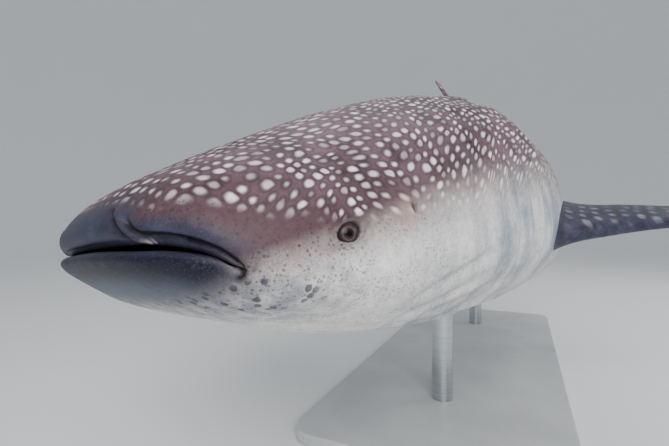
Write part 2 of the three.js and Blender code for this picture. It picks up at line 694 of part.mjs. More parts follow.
const PELVIC = {
  x: 0.532 * TOTAL_LENGTH, y: 0.030 * TOTAL_LENGTH, z: -0.034 * TOTAL_LENGTH,
  span: 0.048 * TOTAL_LENGTH, thickness: 40, droop: THREE.MathUtils.degToRad(38),
};

function pelvicFin(side) {
  const { x, y, z, span, thickness, droop } = PELVIC;
  const lead = curveThrough([[-0.3, -20], [0, 0], [0.4, 80], [0.8, 175], [1, 235]]);
  const trail = curveThrough([[-0.3, 250], [0, 255], [0.12, 275], [0.35, 240], [0.75, 235], [1, 260]]);
  const thick = taper([[-0.3, 1], [0, 1], [0.8, 0.3], [1, 8 / thickness]], thickness);
  const at = (s, along, offset) => [
    x + along,
    side * (y + s * span * Math.cos(droop) - offset * Math.sin(droop)),
    z - s * span * Math.sin(droop) - offset * Math.cos(droop),
  ];
  const shares = [-0.3, ...spanShares.slice(1)];
  return rooted(fin({ at, lead, trail, thick, shares, stiffAt: x, count: 14 }), [tailShell]);
}

// The tail fin is a crescent: both lobes start on a level parting behind the tail stalk
const CAUDAL = {
  parting: 0.020 * TOTAL_LENGTH, upper: 0.198 * TOTAL_LENGTH, lower: 0.128 * TOTAL_LENGTH, thickness: 66,
};

function caudalLobe(up) {
  const reach = up > 0 ? CAUDAL.upper : CAUDAL.lower;
  const start = CAUDAL.parting + (up * GAP) / 2;
  const upperLead = [[0, 4790], [0.12, 4850], [0.3, 5010], [0.6, 5380], [0.85, 5720], [1, 5950]];
  const upperTrail = [[0, 5255], [0.12, 5290], [0.3, 5400], [0.6, 5640], [0.85, 5880], [1, 6000]];
  const lowerLead = [[0, 4790], [0.2, 4830], [0.5, 4985], [0.8, 5190], [1, 5350]];
  const lowerTrail = [[0, 5255], [0.2, 5230], [0.5, 5255], [0.8, 5350], [1, 5410]];
  const thick = taper([[0, 1], [0.3, 0.66], [0.8, 0.34], [1, 0.15]], CAUDAL.thickness);
  const at = (s, along, offset) => [along, offset, start + up * s * reach];
  const lobe = fin({
    at, thick,
    lead: curveThrough(up > 0 ? upperLead : lowerLead),
    trail: curveThrough(up > 0 ? upperTrail : lowerTrail),
    shares: [0, 0.06, 0.14, 0.26, 0.4, 0.55, 0.7, 0.82, 0.91, 0.97, 1],
  });
  return rooted(lobe, [tailTo(TAIL_END + GAP)]);
}

// The shark, banked a little to its right
const shark = new THREE.Group();
shark.position.set(-BASE_CENTRE_X, 0, RIDE_HEIGHT);
shark.rotation.set(-BANK, 0, 0);
shark.updateMatrixWorld(true);

function named(name, geometry, color, roughness = 0.55, metalness = 0) {
  geometry.computeVertexNormals();
  const mesh = new THREE.Mesh(geometry, new THREE.MeshStandardMaterial({ color, roughness, metalness }));
  mesh.name = name;
  return mesh;
}

shark.add(
  named('head', headWithFeatures(), COLOURS.back),
  named('lower_jaw', headHalf(-1), COLOURS.jaw),
  named('gills', gillsShell, COLOURS.flank),
  named('torso', torsoShell, COLOURS.flank),
  named('tail', tailShell, COLOURS.flank),
  named('first_dorsal_fin', middleFin({ ...FIRST_DORSAL, body: torsoShell }), COLOURS.fin),
  named('second_dorsal_fin', middleFin({ ...SECOND_DORSAL, body: tailShell }), COLOURS.fin),
  named('anal_fin', middleFin({ ...ANAL, body: tailShell }), COLOURS.fin),
  named('caudal_upper_lobe', caudalLobe(1), COLOURS.fin),
  named('caudal_lower_lobe', caudalLobe(-1), COLOURS.fin),
);
[['left', -1], ['right', 1]].forEach(([word, side]) => {
  shark.add(
    named(`pectoral_fin_${word}`, pectoralFin(side), COLOURS.fin),
    named(`pelvic_fin_${word}`, pelvicFin(side), COLOURS.fin),
    named(`eye_${word}`, eyeBall(side), COLOURS.eye, 0.15),
  );
});

// The stand
const BASE = {
  length: 2900, width: 1150, height: 50, corner: 120, bevel: 8,
  x: 90, y: 430, turn: THREE.MathUtils.degToRad(21),
};
const ROD = { radius: 52, sides: 28 };
const ROD_STATIONS = [0.275 * TOTAL_LENGTH, 0.535 * TOTAL_LENGTH];

function basePlate() {
  const { length, width, height, corner, bevel } = BASE;
  const [a, b] = [length / 2 - bevel, width / 2 - bevel];
  const outline = new THREE.Shape();
  outline.moveTo(-a + corner, -b).lineTo(a - corner, -b).quadraticCurveTo(a, -b, a, -b + corner);
  outline.lineTo(a, b - corner).quadraticCurveTo(a, b, a - corner, b);
  outline.lineTo(-a + corner, b).quadraticCurveTo(-a, b, -a, b - corner);
  outline.lineTo(-a, -b + corner).quadraticCurveTo(-a, -b, -a + corner, -b);
  const plate = new THREE.ExtrudeGeometry(outline, {
    depth: height - 2 * bevel, bevelThickness: bevel, bevelSize: bevel, bevelSegments: 2, curveSegments: 6,
  });
  plate.translate(0, 0, bevel);
  plate.rotateZ(BASE.turn);
  plate.translate(BASE.x, BASE.y, 0);
  plate.deleteAttribute('normal');
  plate.deleteAttribute('uv');
  return mergeVertices(plate, 1e-3);
}

function rod(station) {
  const top = new THREE.Vector3(...bend([station, 0, 0])).applyMatrix4(shark.matrixWorld);
  const foot = BASE.height + GAP;
  const bar = new THREE.CylinderGeometry(ROD.radius, ROD.radius, top.z - foot, ROD.sides);
  bar.rotateX(Math.PI / 2);
  bar.translate(top.x, top.y, (top.z + foot) / 2);
  const bodies = [torsoShell, tailShell].map((body) => grown(body, GAP).applyMatrix4(shark.matrixWorld));
  return toGeometry(bodies.reduce((solid, body) => solid.subtract(toSolid(body)), toSolid(bar)));
}

const model = new THREE.Group();
model.add(shark);
model.add(named('stand_base', basePlate(), COLOURS.base, 0.4, 0.1));
model.add(named('stand_rod_front', rod(ROD_STATIONS[0]), COLOURS.rod, 0.3, 0.9));
model.add(named('stand_rod_rear', rod(ROD_STATIONS[1]), COLOURS.rod, 0.3, 0.9));

export default model;
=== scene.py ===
"""A life-size display model of a young whale shark on its stand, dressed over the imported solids.

Metres. The shark's own axes are +X from the snout to the tail, -Y its left side and +Z up, with
x = 0 at the tip of the snout. Mounting.place carries its points to the frame of the solids.
"""

import logging
import math
from dataclasses import dataclass, field
from enum import Enum

import bpy
import numpy as np
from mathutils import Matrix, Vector


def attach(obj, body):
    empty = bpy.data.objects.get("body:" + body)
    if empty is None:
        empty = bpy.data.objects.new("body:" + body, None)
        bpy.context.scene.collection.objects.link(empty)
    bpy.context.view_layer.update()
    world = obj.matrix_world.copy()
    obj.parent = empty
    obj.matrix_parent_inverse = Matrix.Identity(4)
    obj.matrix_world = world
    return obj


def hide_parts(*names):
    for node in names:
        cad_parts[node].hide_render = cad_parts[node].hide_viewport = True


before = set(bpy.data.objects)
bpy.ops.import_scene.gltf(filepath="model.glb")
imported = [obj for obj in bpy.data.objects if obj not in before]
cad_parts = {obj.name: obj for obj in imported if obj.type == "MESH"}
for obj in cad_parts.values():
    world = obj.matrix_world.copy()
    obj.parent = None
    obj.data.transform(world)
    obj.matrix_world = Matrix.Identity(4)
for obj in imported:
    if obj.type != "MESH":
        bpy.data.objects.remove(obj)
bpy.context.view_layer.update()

LENGTH = 6.0
QUARTER_TURN = math.pi / 2
LOG = logging.getLogger("whale_shark")

Array = np.ndarray


def smooth(start: float, end: float, x: Array) -> Array:
    """Cubic step: 0 before start, 1 after end, with level ends."""
    t = np.clip((np.asarray(x, float) - start) / (end - start), 0, 1)
    return t * t * (3 - 2 * t)


def hump(centre: float, reach: float, x: Array) -> Array:
    """Bell curve exp(-((x - centre) / reach)^2)."""
    return np.exp(-(((np.asarray(x, float) - centre) / reach) ** 2))


def unit(vectors: Array) -> Array:
    """The vectors at length one."""
    return vectors / np.maximum(np.linalg.norm(vectors, axis=-1, keepdims=True), 1e-12)


def turned(u: Array, v: Array, cos: float, sin: float) -> tuple[Array, Array]:
    """Coordinates u and v in axes turned by an angle with the given cosine and sine."""
    return u * cos + v * sin, v * cos - u * sin


class Curve:
    """Monotone cubic curve through knots, level beyond both ends."""

    def __init__(self, knots: list[tuple[float, float]], along: float = 1.0, up: float = 1.0) -> None:
        """Works out the slopes as harmonic means of the neighbouring rises.

        Args:
            knots: points (position, value).
            along: unit of the positions.
            up: unit of the values.
        """
        self.x = np.array([knot[0] for knot in knots], float) * along
        self.y = np.array([knot[1] for knot in knots], float) * up
        step = np.diff(self.x)
        rise = np.diff(self.y) / step
        near, far = rise[:-1], rise[1:]
        a = 2 * step[1:] + step[:-1]
        b = step[1:] + 2 * step[:-1]
        steady = near * far > 0
        mean = (a + b) / (a / np.where(steady, near, 1) + b / np.where(steady, far, 1))
        self.slope = np.concatenate([rise[:1], np.where(steady, mean, 0), rise[-1:]])

    def __call__(self, x: Array) -> Array:
        """Value at x by the cubic of the span that holds it.

        Args:
            x: positions.

        Returns:
            The values there.
        """
        at = np.clip(np.asarray(x, float), self.x[0], self.x[-1])
        i = np.clip(np.searchsorted(self.x, at, side="left") - 1, 0, len(self.x) - 2)
        h = self.x[i + 1] - self.x[i]
        t = (at - self.x[i]) / h
        rest = (1 - t) ** 2
        start = self.y[i] * (1 + 2 * t) * rest + h * self.slope[i] * t * rest
        return start + self.y[i + 1] * t * t * (3 - 2 * t) + h * self.slope[i + 1] * t * t * (t - 1)


@dataclass
class Mounting:
    """The swimming bend of the body and its place over the stand."""

    sway: float = 0.26 * LENGTH
    sway_start: float = 0.10 * LENGTH
    arch: float = 0.040 * LENGTH
    arch_start: float = 0.15 * LENGTH
    bank: float = math.radians(6)
    height: float = 0.93
    centre_x: float = 2.35

    def bend(self, points: Array, root: float | None = None) -> Array:
        """Swings the axis to the right by half a cosine wave, turns each section with it, and lifts
        the axis towards the tail by another half wave.

        Args:
            points: points in the shark's axes.
            root: station whose turn a stiff fin takes as a whole, or None for a section's own.

        Returns:
            The bent points.
        """
        x, y, z = points[..., 0], points[..., 1], points[..., 2]
        station = x if root is None else np.full_like(x, root)
        phase = np.clip((station - self.sway_start) / (LENGTH - self.sway_start), 0, 1) * math.pi
        slope = self.sway * math.pi * np.sin(phase) / (2 * (LENGTH - self.sway_start))
        lean = np.arctan(slope)
        along = x - station
        out = np.empty_like(points)
        out[..., 0] = station + along * np.cos(lean) - y * np.sin(lean)
        out[..., 1] = self.sway * (1 - np.cos(phase)) / 2 + along * np.sin(lean) + y * np.cos(lean)
        lifted = np.clip((station - self.arch_start) / (LENGTH - self.arch_start), 0, 1) * math.pi
        out[..., 2] = z + self.arch * (1 - np.cos(lifted)) / 2
        return out

    def place(self, points: Array) -> Array:
        """Banks the points to the right about the long axis, then lifts and centres them."""
        x, y, z = points[..., 0], points[..., 1], points[..., 2]
        cos, sin = math.cos(self.bank), math.sin(self.bank)
        return np.stack([x - self.centre_x, y * cos + z * sin, z * cos - y * sin + self.height], axis=-1)

    def carry(self, points: Array, root: float | None = None) -> Array:
        """The points bent, stiffly if root is given, and then placed."""
        return self.place(self.bend(points, root))


@dataclass
class BodyForm:
    """Outline, section and side line of the body, as functions of the distance from the snout."""

    snout: float = 0.0766 * LENGTH
    squareness: float = 2.86
    mouth_corner: float = 0.0249 * LENGTH
    jaw_end: float = 0.125 * LENGTH
    gills_end: float = 0.203 * LENGTH
    back: Curve = field(default_factory=lambda: Curve([
        (0, 0.0238), (0.02, 0.0286), (0.05, 0.0359), (0.10, 0.0568), (0.15, 0.0747), (0.20, 0.0851),
        (0.28, 0.0864), (0.36, 0.0880), (0.44, 0.0859), (0.52, 0.0800), (0.60, 0.0715), (0.68, 0.0610),
        (0.74, 0.0529), (0.79, 0.0485), (0.84, 0.0540)], LENGTH, LENGTH))
    belly: Curve = field(default_factory=lambda: Curve([
        (0, 0.0191), (0.02, 0.0282), (0.05, 0.0373), (0.10, 0.0499), (0.15, 0.0546), (0.20, 0.0551),
        (0.28, 0.0585), (0.36, 0.0611), (0.44, 0.0572), (0.52, 0.0480), (0.60, 0.0355), (0.68, 0.0212),
        (0.74, 0.0099), (0.79, 0.0035), (0.84, 0.0060)], LENGTH, LENGTH))
    width: Curve = field(default_factory=lambda: Curve([
        (0, 0.0776), (0.05, 0.0776), (0.10, 0.0799), (0.15, 0.0863), (0.20, 0.0914), (0.28, 0.0913),
        (0.36, 0.0795), (0.44, 0.0665), (0.52, 0.0545), (0.60, 0.0430), (0.68, 0.0320), (0.74, 0.0240),
        (0.79, 0.0165), (0.82, 0.0090), (0.84, 0.0070)], LENGTH, LENGTH))
    side_line: Curve = field(default_factory=lambda: Curve([
        (0, -0.0056), (0.004, -0.0066), (0.010, -0.0074), (0.0175, -0.0098), (0.0249, -0.0145),
        (0.0375, -0.0181), (0.05, -0.0177), (0.10, -0.0094), (0.20, -0.0007), (0.50, 0.002), (0.74, 0.020),
        (0.84, 0.024)], LENGTH, LENGTH))
    section: Curve = field(default_factory=lambda: Curve(
        [(0, 2.33), (0.20, 2.33), (0.40, 2.2), (0.60, 2.05), (0.84, 2.0)], LENGTH))
    ridges: tuple[Curve, ...] = field(default_factory=lambda: tuple(
        Curve(knots, LENGTH, math.radians(1)) for knots in (
            [(0, 46), (0.20, 46), (0.50, 34), (0.74, 6), (0.84, 3)],
            [(0, 60), (0.20, 60), (0.50, 52), (0.74, 36), (0.84, 32)],
            [(0, 75), (0.20, 75), (0.50, 71), (0.74, 62), (0.84, 60)])))

    def ahead(self, x: Array) -> Array:
        """Share of the snout's length that lies between x and the end of the snout."""
        return np.clip(1 - x / self.snout, 0, 1)

    def half_width(self, x: Array) -> Array:
        """Half width of the plan: the superellipse of the snout, then the body's width."""
        n = self.squareness
        return self.width(x) * (1 - self.ahead(x) ** n) ** (1 / n)

    def outline_x(self, y: Array) -> Array:
        """The x of the snout's outline at a distance y from the middle."""
        share = np.minimum(np.abs(y) / self.width(0), 1)
        n = self.squareness
        return self.snout * (1 - (1 - share**n) ** (1 / n))

    def height(self, x: Array, y: Array, up: Array) -> Array:
        """Height of the plain surface over its side line, (1 - share^m)^(1/m) of the reach.

        Args:
            x: distance from the snout.
            y: distance from the middle.
            up: 1 above the side line and -1 below it.

        Returns:
            Distance from the side line, up or down.
        """
        n = self.squareness
        share = (self.ahead(x) ** n + (np.abs(y) / self.width(x)) ** n) ** (1 / n)
        m = self.section(x)
        rise = (1 - np.minimum(share, 1) ** m) ** (1 / m)
        return self.reach(x, up) * rise

    def reach(self, x: Array, up: Array) -> Array:
        """Distance from the side line to the top of the back (up = 1) or to the belly (up = -1)."""
        line = self.side_line(x)
        return np.where(up > 0, self.back(x) - line, self.belly(x) + line)

    def inward(self, x: Array, y: Array) -> tuple[Array, Array]:
        """Direction in plan from the snout's outline towards the inside, as its x and y parts."""
        n = self.squareness
        dx = self.ahead(x) ** (n - 1) / self.snout
        dy = (np.abs(y) / self.width(x)) ** (n - 1) / self.width(x)
        size = np.maximum(np.hypot(dx, dy), 1e-9)
        return dx / size, -np.sign(y) * dy / size

    def flank(self, x: Array, z: Array, side: int) -> Array:
        """Point of the plain surface on one side at a given distance from the snout and height.

        Args:
            x: distance from the snout.
            z: height.
            side: -1 for the left side and 1 for the right.

        Returns:
            The points.
        """
        m, n = self.section(x), self.squareness
        line = self.side_line(x)
        up = np.where(z > line, 1, -1)
        share = (1 - np.clip(np.abs(z - line) / self.reach(x, up), 0, 1) ** m) ** (1 / m)
        y = self.width(x) * np.maximum(share**n - self.ahead(x) ** n, 0) ** (1 / n)
        return np.stack(np.broadcast_arrays(x, side * y, z), axis=-1).astype(float)

    def flank_normal(self, x: float, z: float, side: int, step: float = 0.012) -> Array:
        """Outward normal of the plain flank, from points a step before, behind, above and below."""
        along = self.flank(x + step, z, side) - self.flank(x - step, z, side)
        upward = self.flank(x, z + step, side) - self.flank(x, z - step, side)
        return unit(np.cross(along, upward) * -side)


@dataclass
class Surface:
    """Points, faces and values at the points that make one mesh."""

    points: list[Array] = field(default_factory=list)
    faces: list[Array] = field(default_factory=list)
    values: dict[str, list[Array]] = field(default_factory=dict)
    count: int = 0

    def add(self, points: Array, faces: list[Array], values: dict[str, Array]) -> None:
        """Adds a piece of surface.

        Args:
            points: (n, 3) points.
            faces: arrays of (k, 3) or (k, 4) point numbers within the piece.
            values: (n,) or (n, 3) values by name.
        """
        self.points.append(points)
        for group in faces:
            self.faces.append(group + self.count)
        for name, value in values.items():
            self.values.setdefault(name, []).append(value)
        self.count += len(points)

    def build(self, name: str) -> bpy.types.Object:
        """Makes the mesh object with smooth faces and its values as attributes.

        Args:
            name: name of the object.

        Returns:
            The object, at the origin.
        """
        points = np.concatenate(self.points)
        used = np.unique(np.concatenate([group.ravel() for group in self.faces]))
        renumber = np.full(len(points), -1)
        renumber[used] = np.arange(len(used))
        corners, sizes = [], []
        for group in self.faces:
            for corners_of, size in tidy_faces(renumber[group]):
                corners.append(corners_of.ravel())
                sizes.append(np.full(len(corners_of), size))
        loops, totals = np.concatenate(corners), np.concatenate(sizes)
        mesh = bpy.data.meshes.new(name)
        mesh.vertices.add(len(used))
        mesh.vertices.foreach_set("co", points[used].ravel())
        mesh.loops.add(len(loops))
        mesh.loops.foreach_set("vertex_index", loops.astype(np.int32))
        mesh.polygons.add(len(totals))
        starts = np.concatenate([[0], np.cumsum(totals)[:-1]])
        mesh.polygons.foreach_set("loop_start", starts.astype(np.int32))
        mesh.polygons.foreach_set("loop_total", totals.astype(np.int32))
        mesh.polygons.foreach_set("use_smooth", np.ones(len(totals), bool))
        mesh.update(calc_edges=True)
        mesh.validate()
        for key, parts in self.values.items():
            data = np.concatenate(parts)[used]
            kind, slot = ("FLOAT_VECTOR", "vector") if data.ndim == 2 else ("FLOAT", "value")
            attribute = mesh.attributes.new(key, kind, "POINT")
            attribute.data.foreach_set(slot, data.astype(np.float32).ravel())
        part = bpy.data.objects.new(name, mesh)
        bpy.context.scene.collection.objects.link(part)
        return part


def tidy_faces(faces: Array) -> list[tuple[Array, int]]:
    """Parts faces that have lost a corner from whole ones, and drops those that have lost more.

    Args:
        faces: (k, 3) or (k, 4) point numbers, with repeats where corners have merged.

    Returns:
        Pairs of an array of faces and its number of corners.
    """
    following = np.roll(faces, -1, axis=1)
    repeats = faces == following
    lost = repeats.sum(axis=1)
    whole = faces[lost == 0]
    pairs = [(whole, faces.shape[1])] if len(whole) else []
    if faces.shape[1] == 4 and (lost == 1).any():
        broken, where = faces[lost == 1], repeats[lost == 1]
        pairs.append((broken[~where].reshape(-1, 3), 3))
    return pairs


def strip_faces(near: Array, far: Array) -> Array:
    """Quads between two closed rows of point numbers of one length."""
    near, far = np.append(near, near[0]), np.append(far, far[0])
    return np.stack([near[:-1], far[:-1], far[1:], near[1:]], axis=1)


def wrapped_rows(numbers: Array) -> list[Array]:
    """Quads between the neighbouring closed rows of a grid of point numbers."""
    return [strip_faces(near, far) for near, far in zip(numbers[:-1], numbers[1:])]


def cap_faces(ring: Array) -> Array:
    """Quads across a closed ring with an even number of points, in strips from side to side."""
    half = len(ring) // 2
    far = np.append(ring[half:], ring[0])[::-1]
    return np.stack([ring[:half], ring[1:half + 1], far[1:], far[:-1]], axis=1)


def fan_faces(centre: int, ring: Array) -> Array:
    """Triangles from one point to a closed ring."""
    return np.stack([np.full(len(ring), centre), ring, np.roll(ring, -1)], axis=1)


def halving_faces(fine: Array, coarse: Array) -> Array:
    """Triangles between a closed row and the next one, which has half as many spans.

    Args:
        fine: numbers of the finer row.
        coarse: numbers of the coarser row.

    Returns:
        (k, 3) point numbers, three triangles for each coarse span.
    """
    fine, coarse = np.append(fine, fine[0]), np.append(coarse, coarse[0])
    a, b, c = fine[:-1:2], fine[1::2], fine[2::2]
    d, e = coarse[:-1], coarse[1:]
    return np.concatenate([np.stack(t, axis=1) for t in ((a, d, b), (b, d, e), (b, e, c))])


def signed_volume(points: Array, faces: list[Array]) -> float:
    """Six times the volume inside faces: the sum of a . (b x c) over fans of triangles."""
    total = 0.0
    for group in faces:
        for k in range(1, group.shape[1] - 1):
            a, b, c = points[group[:, 0]], points[group[:, k]], points[group[:, k + 1]]
            total += float(np.sum(a * np.cross(b, c)))
    return total


def facing_out(points: Array, faces: list[Array]) -> list[Array]:
    """The faces of a closed surface, turned over if they face inwards."""
    return faces if signed_volume(points, faces) > 0 else [group[:, ::-1] for group in faces]


def point_normals(points: Array, faces: list[Array]) -> Array:
    """Normal at each point: the sum of the cross products of the diagonals of its faces.

    Args:
        points: (n, 3) points.
        faces: arrays of point numbers.

    Returns:
        (n, 3) unit normals.
    """
    out = np.zeros_like(points)
    for group in faces:
        a, b, c, d = (points[group[:, k]] for k in (0, 1, 2, -1))
        normal = np.cross(c - a, d - b) if group.shape[1] == 4 else np.cross(b - a, c - a)
        for k in range(group.shape[1]):
            np.add.at(out, group[:, k], normal)
    return unit(out)


@dataclass(frozen=True)
class Crease:
    """A groove (depth above 0) or a raised fold (below 0) along a line on the left flank, with painted
    shade (dark) and a pale mark (pale) along it.
    """

    line: Array
    reach: float
    depth: float
    # dark paints shade along the line; pale lightens it.
    dark: float = 0.0
    pale: float = 0.0
    taper: float = 0.15

    def profile(self, points: Array, normals: Array, side: int) -> Array:
        """Bell curve of the distance from the line, which fades out at both ends.

        The distance leaves out up to 20 mm along the level part of the skin's normal, so that the
        line needs not lie right in the skin.

        Args:
            points: (n, 3) points in the shark's axes before the bend.
            normals: (n, 3) outward normals of the skin.
            side: -1 for the left side and 1 for the right.

        Returns:
            (n,) shares from 0 to 1.
        """
        knots = self.line * (1, -side, 1)
        level = unit(normals * (1, 1, 0))
        best = np.full(len(points), 1e9)
        share = np.zeros(len(points))
        spans = len(knots) - 1
        for k in range(spans):
            start, step = knots[k], knots[k + 1] - knots[k]
            t = np.clip((points - start) @ step / (step @ step), 0, 1)
            away = points - start - t[:, None] * step
            off = np.sum(away * level, axis=1)
            gap = np.linalg.norm(away - off[:, None] * level, axis=1)
            gap = gap + 3 * np.maximum(np.abs(off) - 0.02, 0)
            nearer = gap < best
            best = np.where(nearer, gap, best)
            share = np.where(nearer, (k + t) / spans, share)
        fade = smooth(-0.001, self.taper, share) * (1 - smooth(1 - self.taper, 1.001, share))
        return hump(0, self.reach, best) * fade


@dataclass
class Skin:
    """The hide from the mouth to the tail stalk as one closed surface, with its relief and marks."""

    form: BodyForm
    mounting: Mounting
    upper_columns: int = 114
    lower_columns: int = 76
    mouth_gap: float = 0.013
    mouth_depth: float = 0.105
    corner_turn: float = 0.75
    upper_lip: tuple[float, float] = (0.034, 0.025)
    lower_lip: tuple[float, float] = (0.018, 0.017)
    gill_count: int = 5
    first_gill: float = 0.1385 * LENGTH
    gill_pitch: float = 0.0138 * LENGTH
    gill_flap: float = 0.010
    gill_lean: float = 0.026
    gill_turns: tuple[float, float] = (0.85, 0.62)
    ridge_height: float = 0.013
    ridge_width: float = math.radians(3.2)
    keel_height: float = 0.034
    keel_width: float = math.radians(4.2)
    closing: tuple[float, float] = (0.815 * LENGTH, 0.872 * LENGTH)
    stalk_end: float = 5.22
    stalk_rise: float = 0.155
    arc_end: float = 5.2
    eye_x: float = 0.0561 * LENGTH
    eye_z: float = -0.0064 * LENGTH
    eye_radius: float = 0.027
    eye_proud: float = 0.007
    eye_tilt: float = math.radians(14)
    eye_opening: tuple[float, float] = (1.15, 0.68)
    spiracle_x: float = 0.0881 * LENGTH
    spiracle_z: float = 0.0015 * LENGTH
    spiracle_size: tuple[float, float] = (0.0075, 0.0120)
    mark_depth: float = 0.08

    def quarter(self) -> Array:
        """Angles of the upper columns from the side to the top, closest at the eye and nostril."""
        spans = [(0, 20, 44), (20, 44, 20), (44, 62, 28), (62, 90, 22)]
        parts = [np.linspace(a, b, n, endpoint=False) for a, b, n in spans]
        return np.radians(np.append(np.concatenate(parts), 90.0))

    def ring(self, coarse: bool = False) -> tuple[Array, Array, Array]:
        """Angle, side and half of each column of a ring.

        Args:
            coarse: whether to keep every second column.

        Returns:
            Angles from the side line, sides (-1 left, 1 right) and halves (1 upper, -1 lower).
        """
        upper = self.quarter()
        shares = np.linspace(0, 1, self.lower_columns + 1)
        lower = np.interp(shares, np.linspace(0, 1, len(upper)), upper)
        angles = np.concatenate([upper, upper[-2::-1], lower[1:], lower[-2:0:-1]])
        middle = len(upper)
        sides = np.ones(len(angles))
        sides[:middle] = -1
        sides[middle + self.upper_columns + self.lower_columns:] = -1
        halves = np.ones(len(angles))
        halves[2 * self.upper_columns + 1:] = -1
        step = 2 if coarse else 1
        return angles[::step], sides[::step], halves[::step]

    def snout_rows(self) -> Array:
        """Sweeps of the snout's rows: 0 on the lips and a quarter turn on the plain section."""
        shares = np.arange(0, 0.27, 0.0085)
        near = np.arcsin(shares ** (self.form.section(0) / 2))
        rest = np.linspace(near[-1], QUARTER_TURN, 66)[1:]
        return np.concatenate([near, rest])

    def front(self, angle: Array) -> tuple[Array, Array]:
        """Where the columns start on the snout's outline.

        Args:
            angle: angles of the columns from the side line.

        Returns:
            Shares of the half width, |cos|^(2/m), and shares of the way back to the mouth's corner.
        """
        form = self.form
        across = np.abs(np.cos(angle)) ** (2 / form.section(0))
        start = form.outline_x(across * form.half_width(form.mouth_corner))
        return across, np.clip(start / form.mouth_corner, 0, 1)

    def lip(self, up: Array) -> tuple[Array, Array]:
        """Height and depth of the rounding of the upper lip (up = 1) and of the lower one (up = -1)."""
        return tuple(np.where(up > 0, above, below) for above, below in zip(self.upper_lip, self.lower_lip))

    def snout_points(self) -> Array:
        """Rows of the snout, from the lips to the plain section.

        In plan a row moves from the outline inwards: across the front by a(1 - cos^(2/m) sweep), and
        at the sides evenly from the mouth's corner to the end of the snout. Its height is that of
        the plain surface. Below the lip's radius the row tucks in along a circle.

        Returns:
            (rows, columns, 3) points.
        """
        form = self.form
        angle, side, up = (part[None, :] for part in self.ring())
        sweep = self.snout_rows()[:, None]
        across, to_side = self.front(angle)
        middle = form.snout * (1 - np.clip(np.cos(sweep), 0, 1) ** (2 / form.section(0)))
        side_x = form.mouth_corner + (form.snout - form.mouth_corner) * sweep / QUARTER_TURN
        x = middle + (side_x - middle) * to_side
        y = side * across * form.half_width(side_x)
        height = form.height(x, y, up)
        in_x, in_y = form.inward(x, y)
        lip_rise, lip_depth = self.lip(up)
        opening = smooth(0, self.corner_turn, angle)
        low = np.clip(1 - height / lip_rise, 0, 1)
        tuck = opening * lip_depth * (1 - np.sqrt(1 - low**2))
        spread = opening * np.cos(sweep) * self.mouth_gap / 2
        z = form.side_line(x) + up * (height + spread)
        return np.stack([x + in_x * tuck, y + in_y * tuck, z], axis=-1)

    def mouth_points(self) -> Array:
        """Rows inside the mouth, from its closed end out to just behind the lips.

        Each row lies a share of the mouth's depth inwards from the lips, in plan along the inward
        normal, and the roof and floor come together at the end.

        Returns:
            (rows, columns, 3) points.
        """
        form = self.form
        angle, side, up = (part[None, :] for part in self.ring())
        shares = np.array([1, 0.97, 0.88, 0.72, 0.52, 0.34, 0.20, 0.10, 0.04, 0.015])[:, None]
        gap = np.array([0.06, 0.5, 0.85, 1.0, 1.0, 1.0, 0.98, 0.96, 0.96, 0.98])[:, None]
        across, to_side = self.front(angle)
        x0 = form.mouth_corner * to_side
        y0 = side * across * form.half_width(form.mouth_corner)
        in_x, in_y = form.inward(x0, y0)
        opening = smooth(0, self.corner_turn, angle)
        inset = (shares * self.mouth_depth + self.lip(up)[1]) * opening
        x = x0 + in_x * inset
        z = form.side_line(x) + up * opening * self.mouth_gap * gap / 2
        return np.stack([x, y0 + in_y * inset, z], axis=-1)

    def trunk_points(self, stations: Array, coarse: bool) -> tuple[Array, Array]:
        """Rows of plain sections with ridges, keels and gill flaps.

        A section is y = W cos^(2/m), z = line +- reach sin^(2/m) of the column's angle, and relief
        moves a point out along (cos, sin). The gill rows lean back over the upper flank, and the
        sections behind close to the stalk's rounded end.

        Args:
            stations: distances from the snout.
            coarse: whether the ring has every second column.

        Returns:
            (rows, columns, 3) points and (rows, columns) painted shade of the gill slits.
        """
        form = self.form
        angle, side, up = (part[None, :] for part in self.ring(coarse))
        x = stations[:, None]
        m = form.section(x)
        across = np.abs(np.cos(angle)) ** (2 / m)
        rise = np.abs(np.sin(angle)) ** (2 / m)
        remains = 1 - smooth(*self.closing, x)
        relief = np.where(up > 0, self.ridge_relief(x, angle), 0)
        window = 1 - smooth(0.55, 1, angle / np.where(up > 0, *self.gill_turns))
        flap, slit = self.gill_relief(x)
        relief = relief + flap * window
        lean = smooth(form.jaw_end, self.first_gill - self.gill_pitch / 2, x)
        lean = lean * (1 - smooth(self.gill(-1) + 0.012, form.gills_end, x)) * self.gill_lean
        wide, tall = form.width(x) * remains, form.reach(x, up) * remains
        centre = form.side_line(x) * remains + self.stalk_rise * (1 - remains)
        points = np.stack(np.broadcast_arrays(
            x + lean * up * rise * window,
            side * (wide * across + relief * np.cos(angle)),
            centre + up * (tall * rise + relief * np.sin(angle))), axis=-1)
        # The second value is painted shade in the gill slits.
        return points, 0.6 * slit * np.clip(window * 1.4, 0, 1)

    def gill(self, number: int) -> float:
        """Distance from the snout to a gill slit, the first being 0 and the last -1."""
        return self.first_gill + number % self.gill_count * self.gill_pitch

    def ridge_relief(self, x: Array, angle: Array) -> Array:
        """Height of the three ridges of a flank, of the back's middle ridge and of the keel."""
        start = smooth(0.12 * LENGTH, 0.22 * LENGTH, x) * (1 - smooth(0.76 * LENGTH, 0.83 * LENGTH, x))
        keel = smooth(0.52 * LENGTH, 0.72 * LENGTH, x)
        lowest = self.ridge_height + (self.keel_height - self.ridge_height) * keel
        others = self.ridge_height * (1 - 0.4 * keel)
        relief = lowest * hump(0, self.keel_width, angle - self.form.ridges[0](x))
        for ridge in self.form.ridges[1:]:
            relief = relief + others * hump(0, self.ridge_width, angle - ridge(x))
        return start * (relief + others * hump(QUARTER_TURN, self.ridge_width, angle))

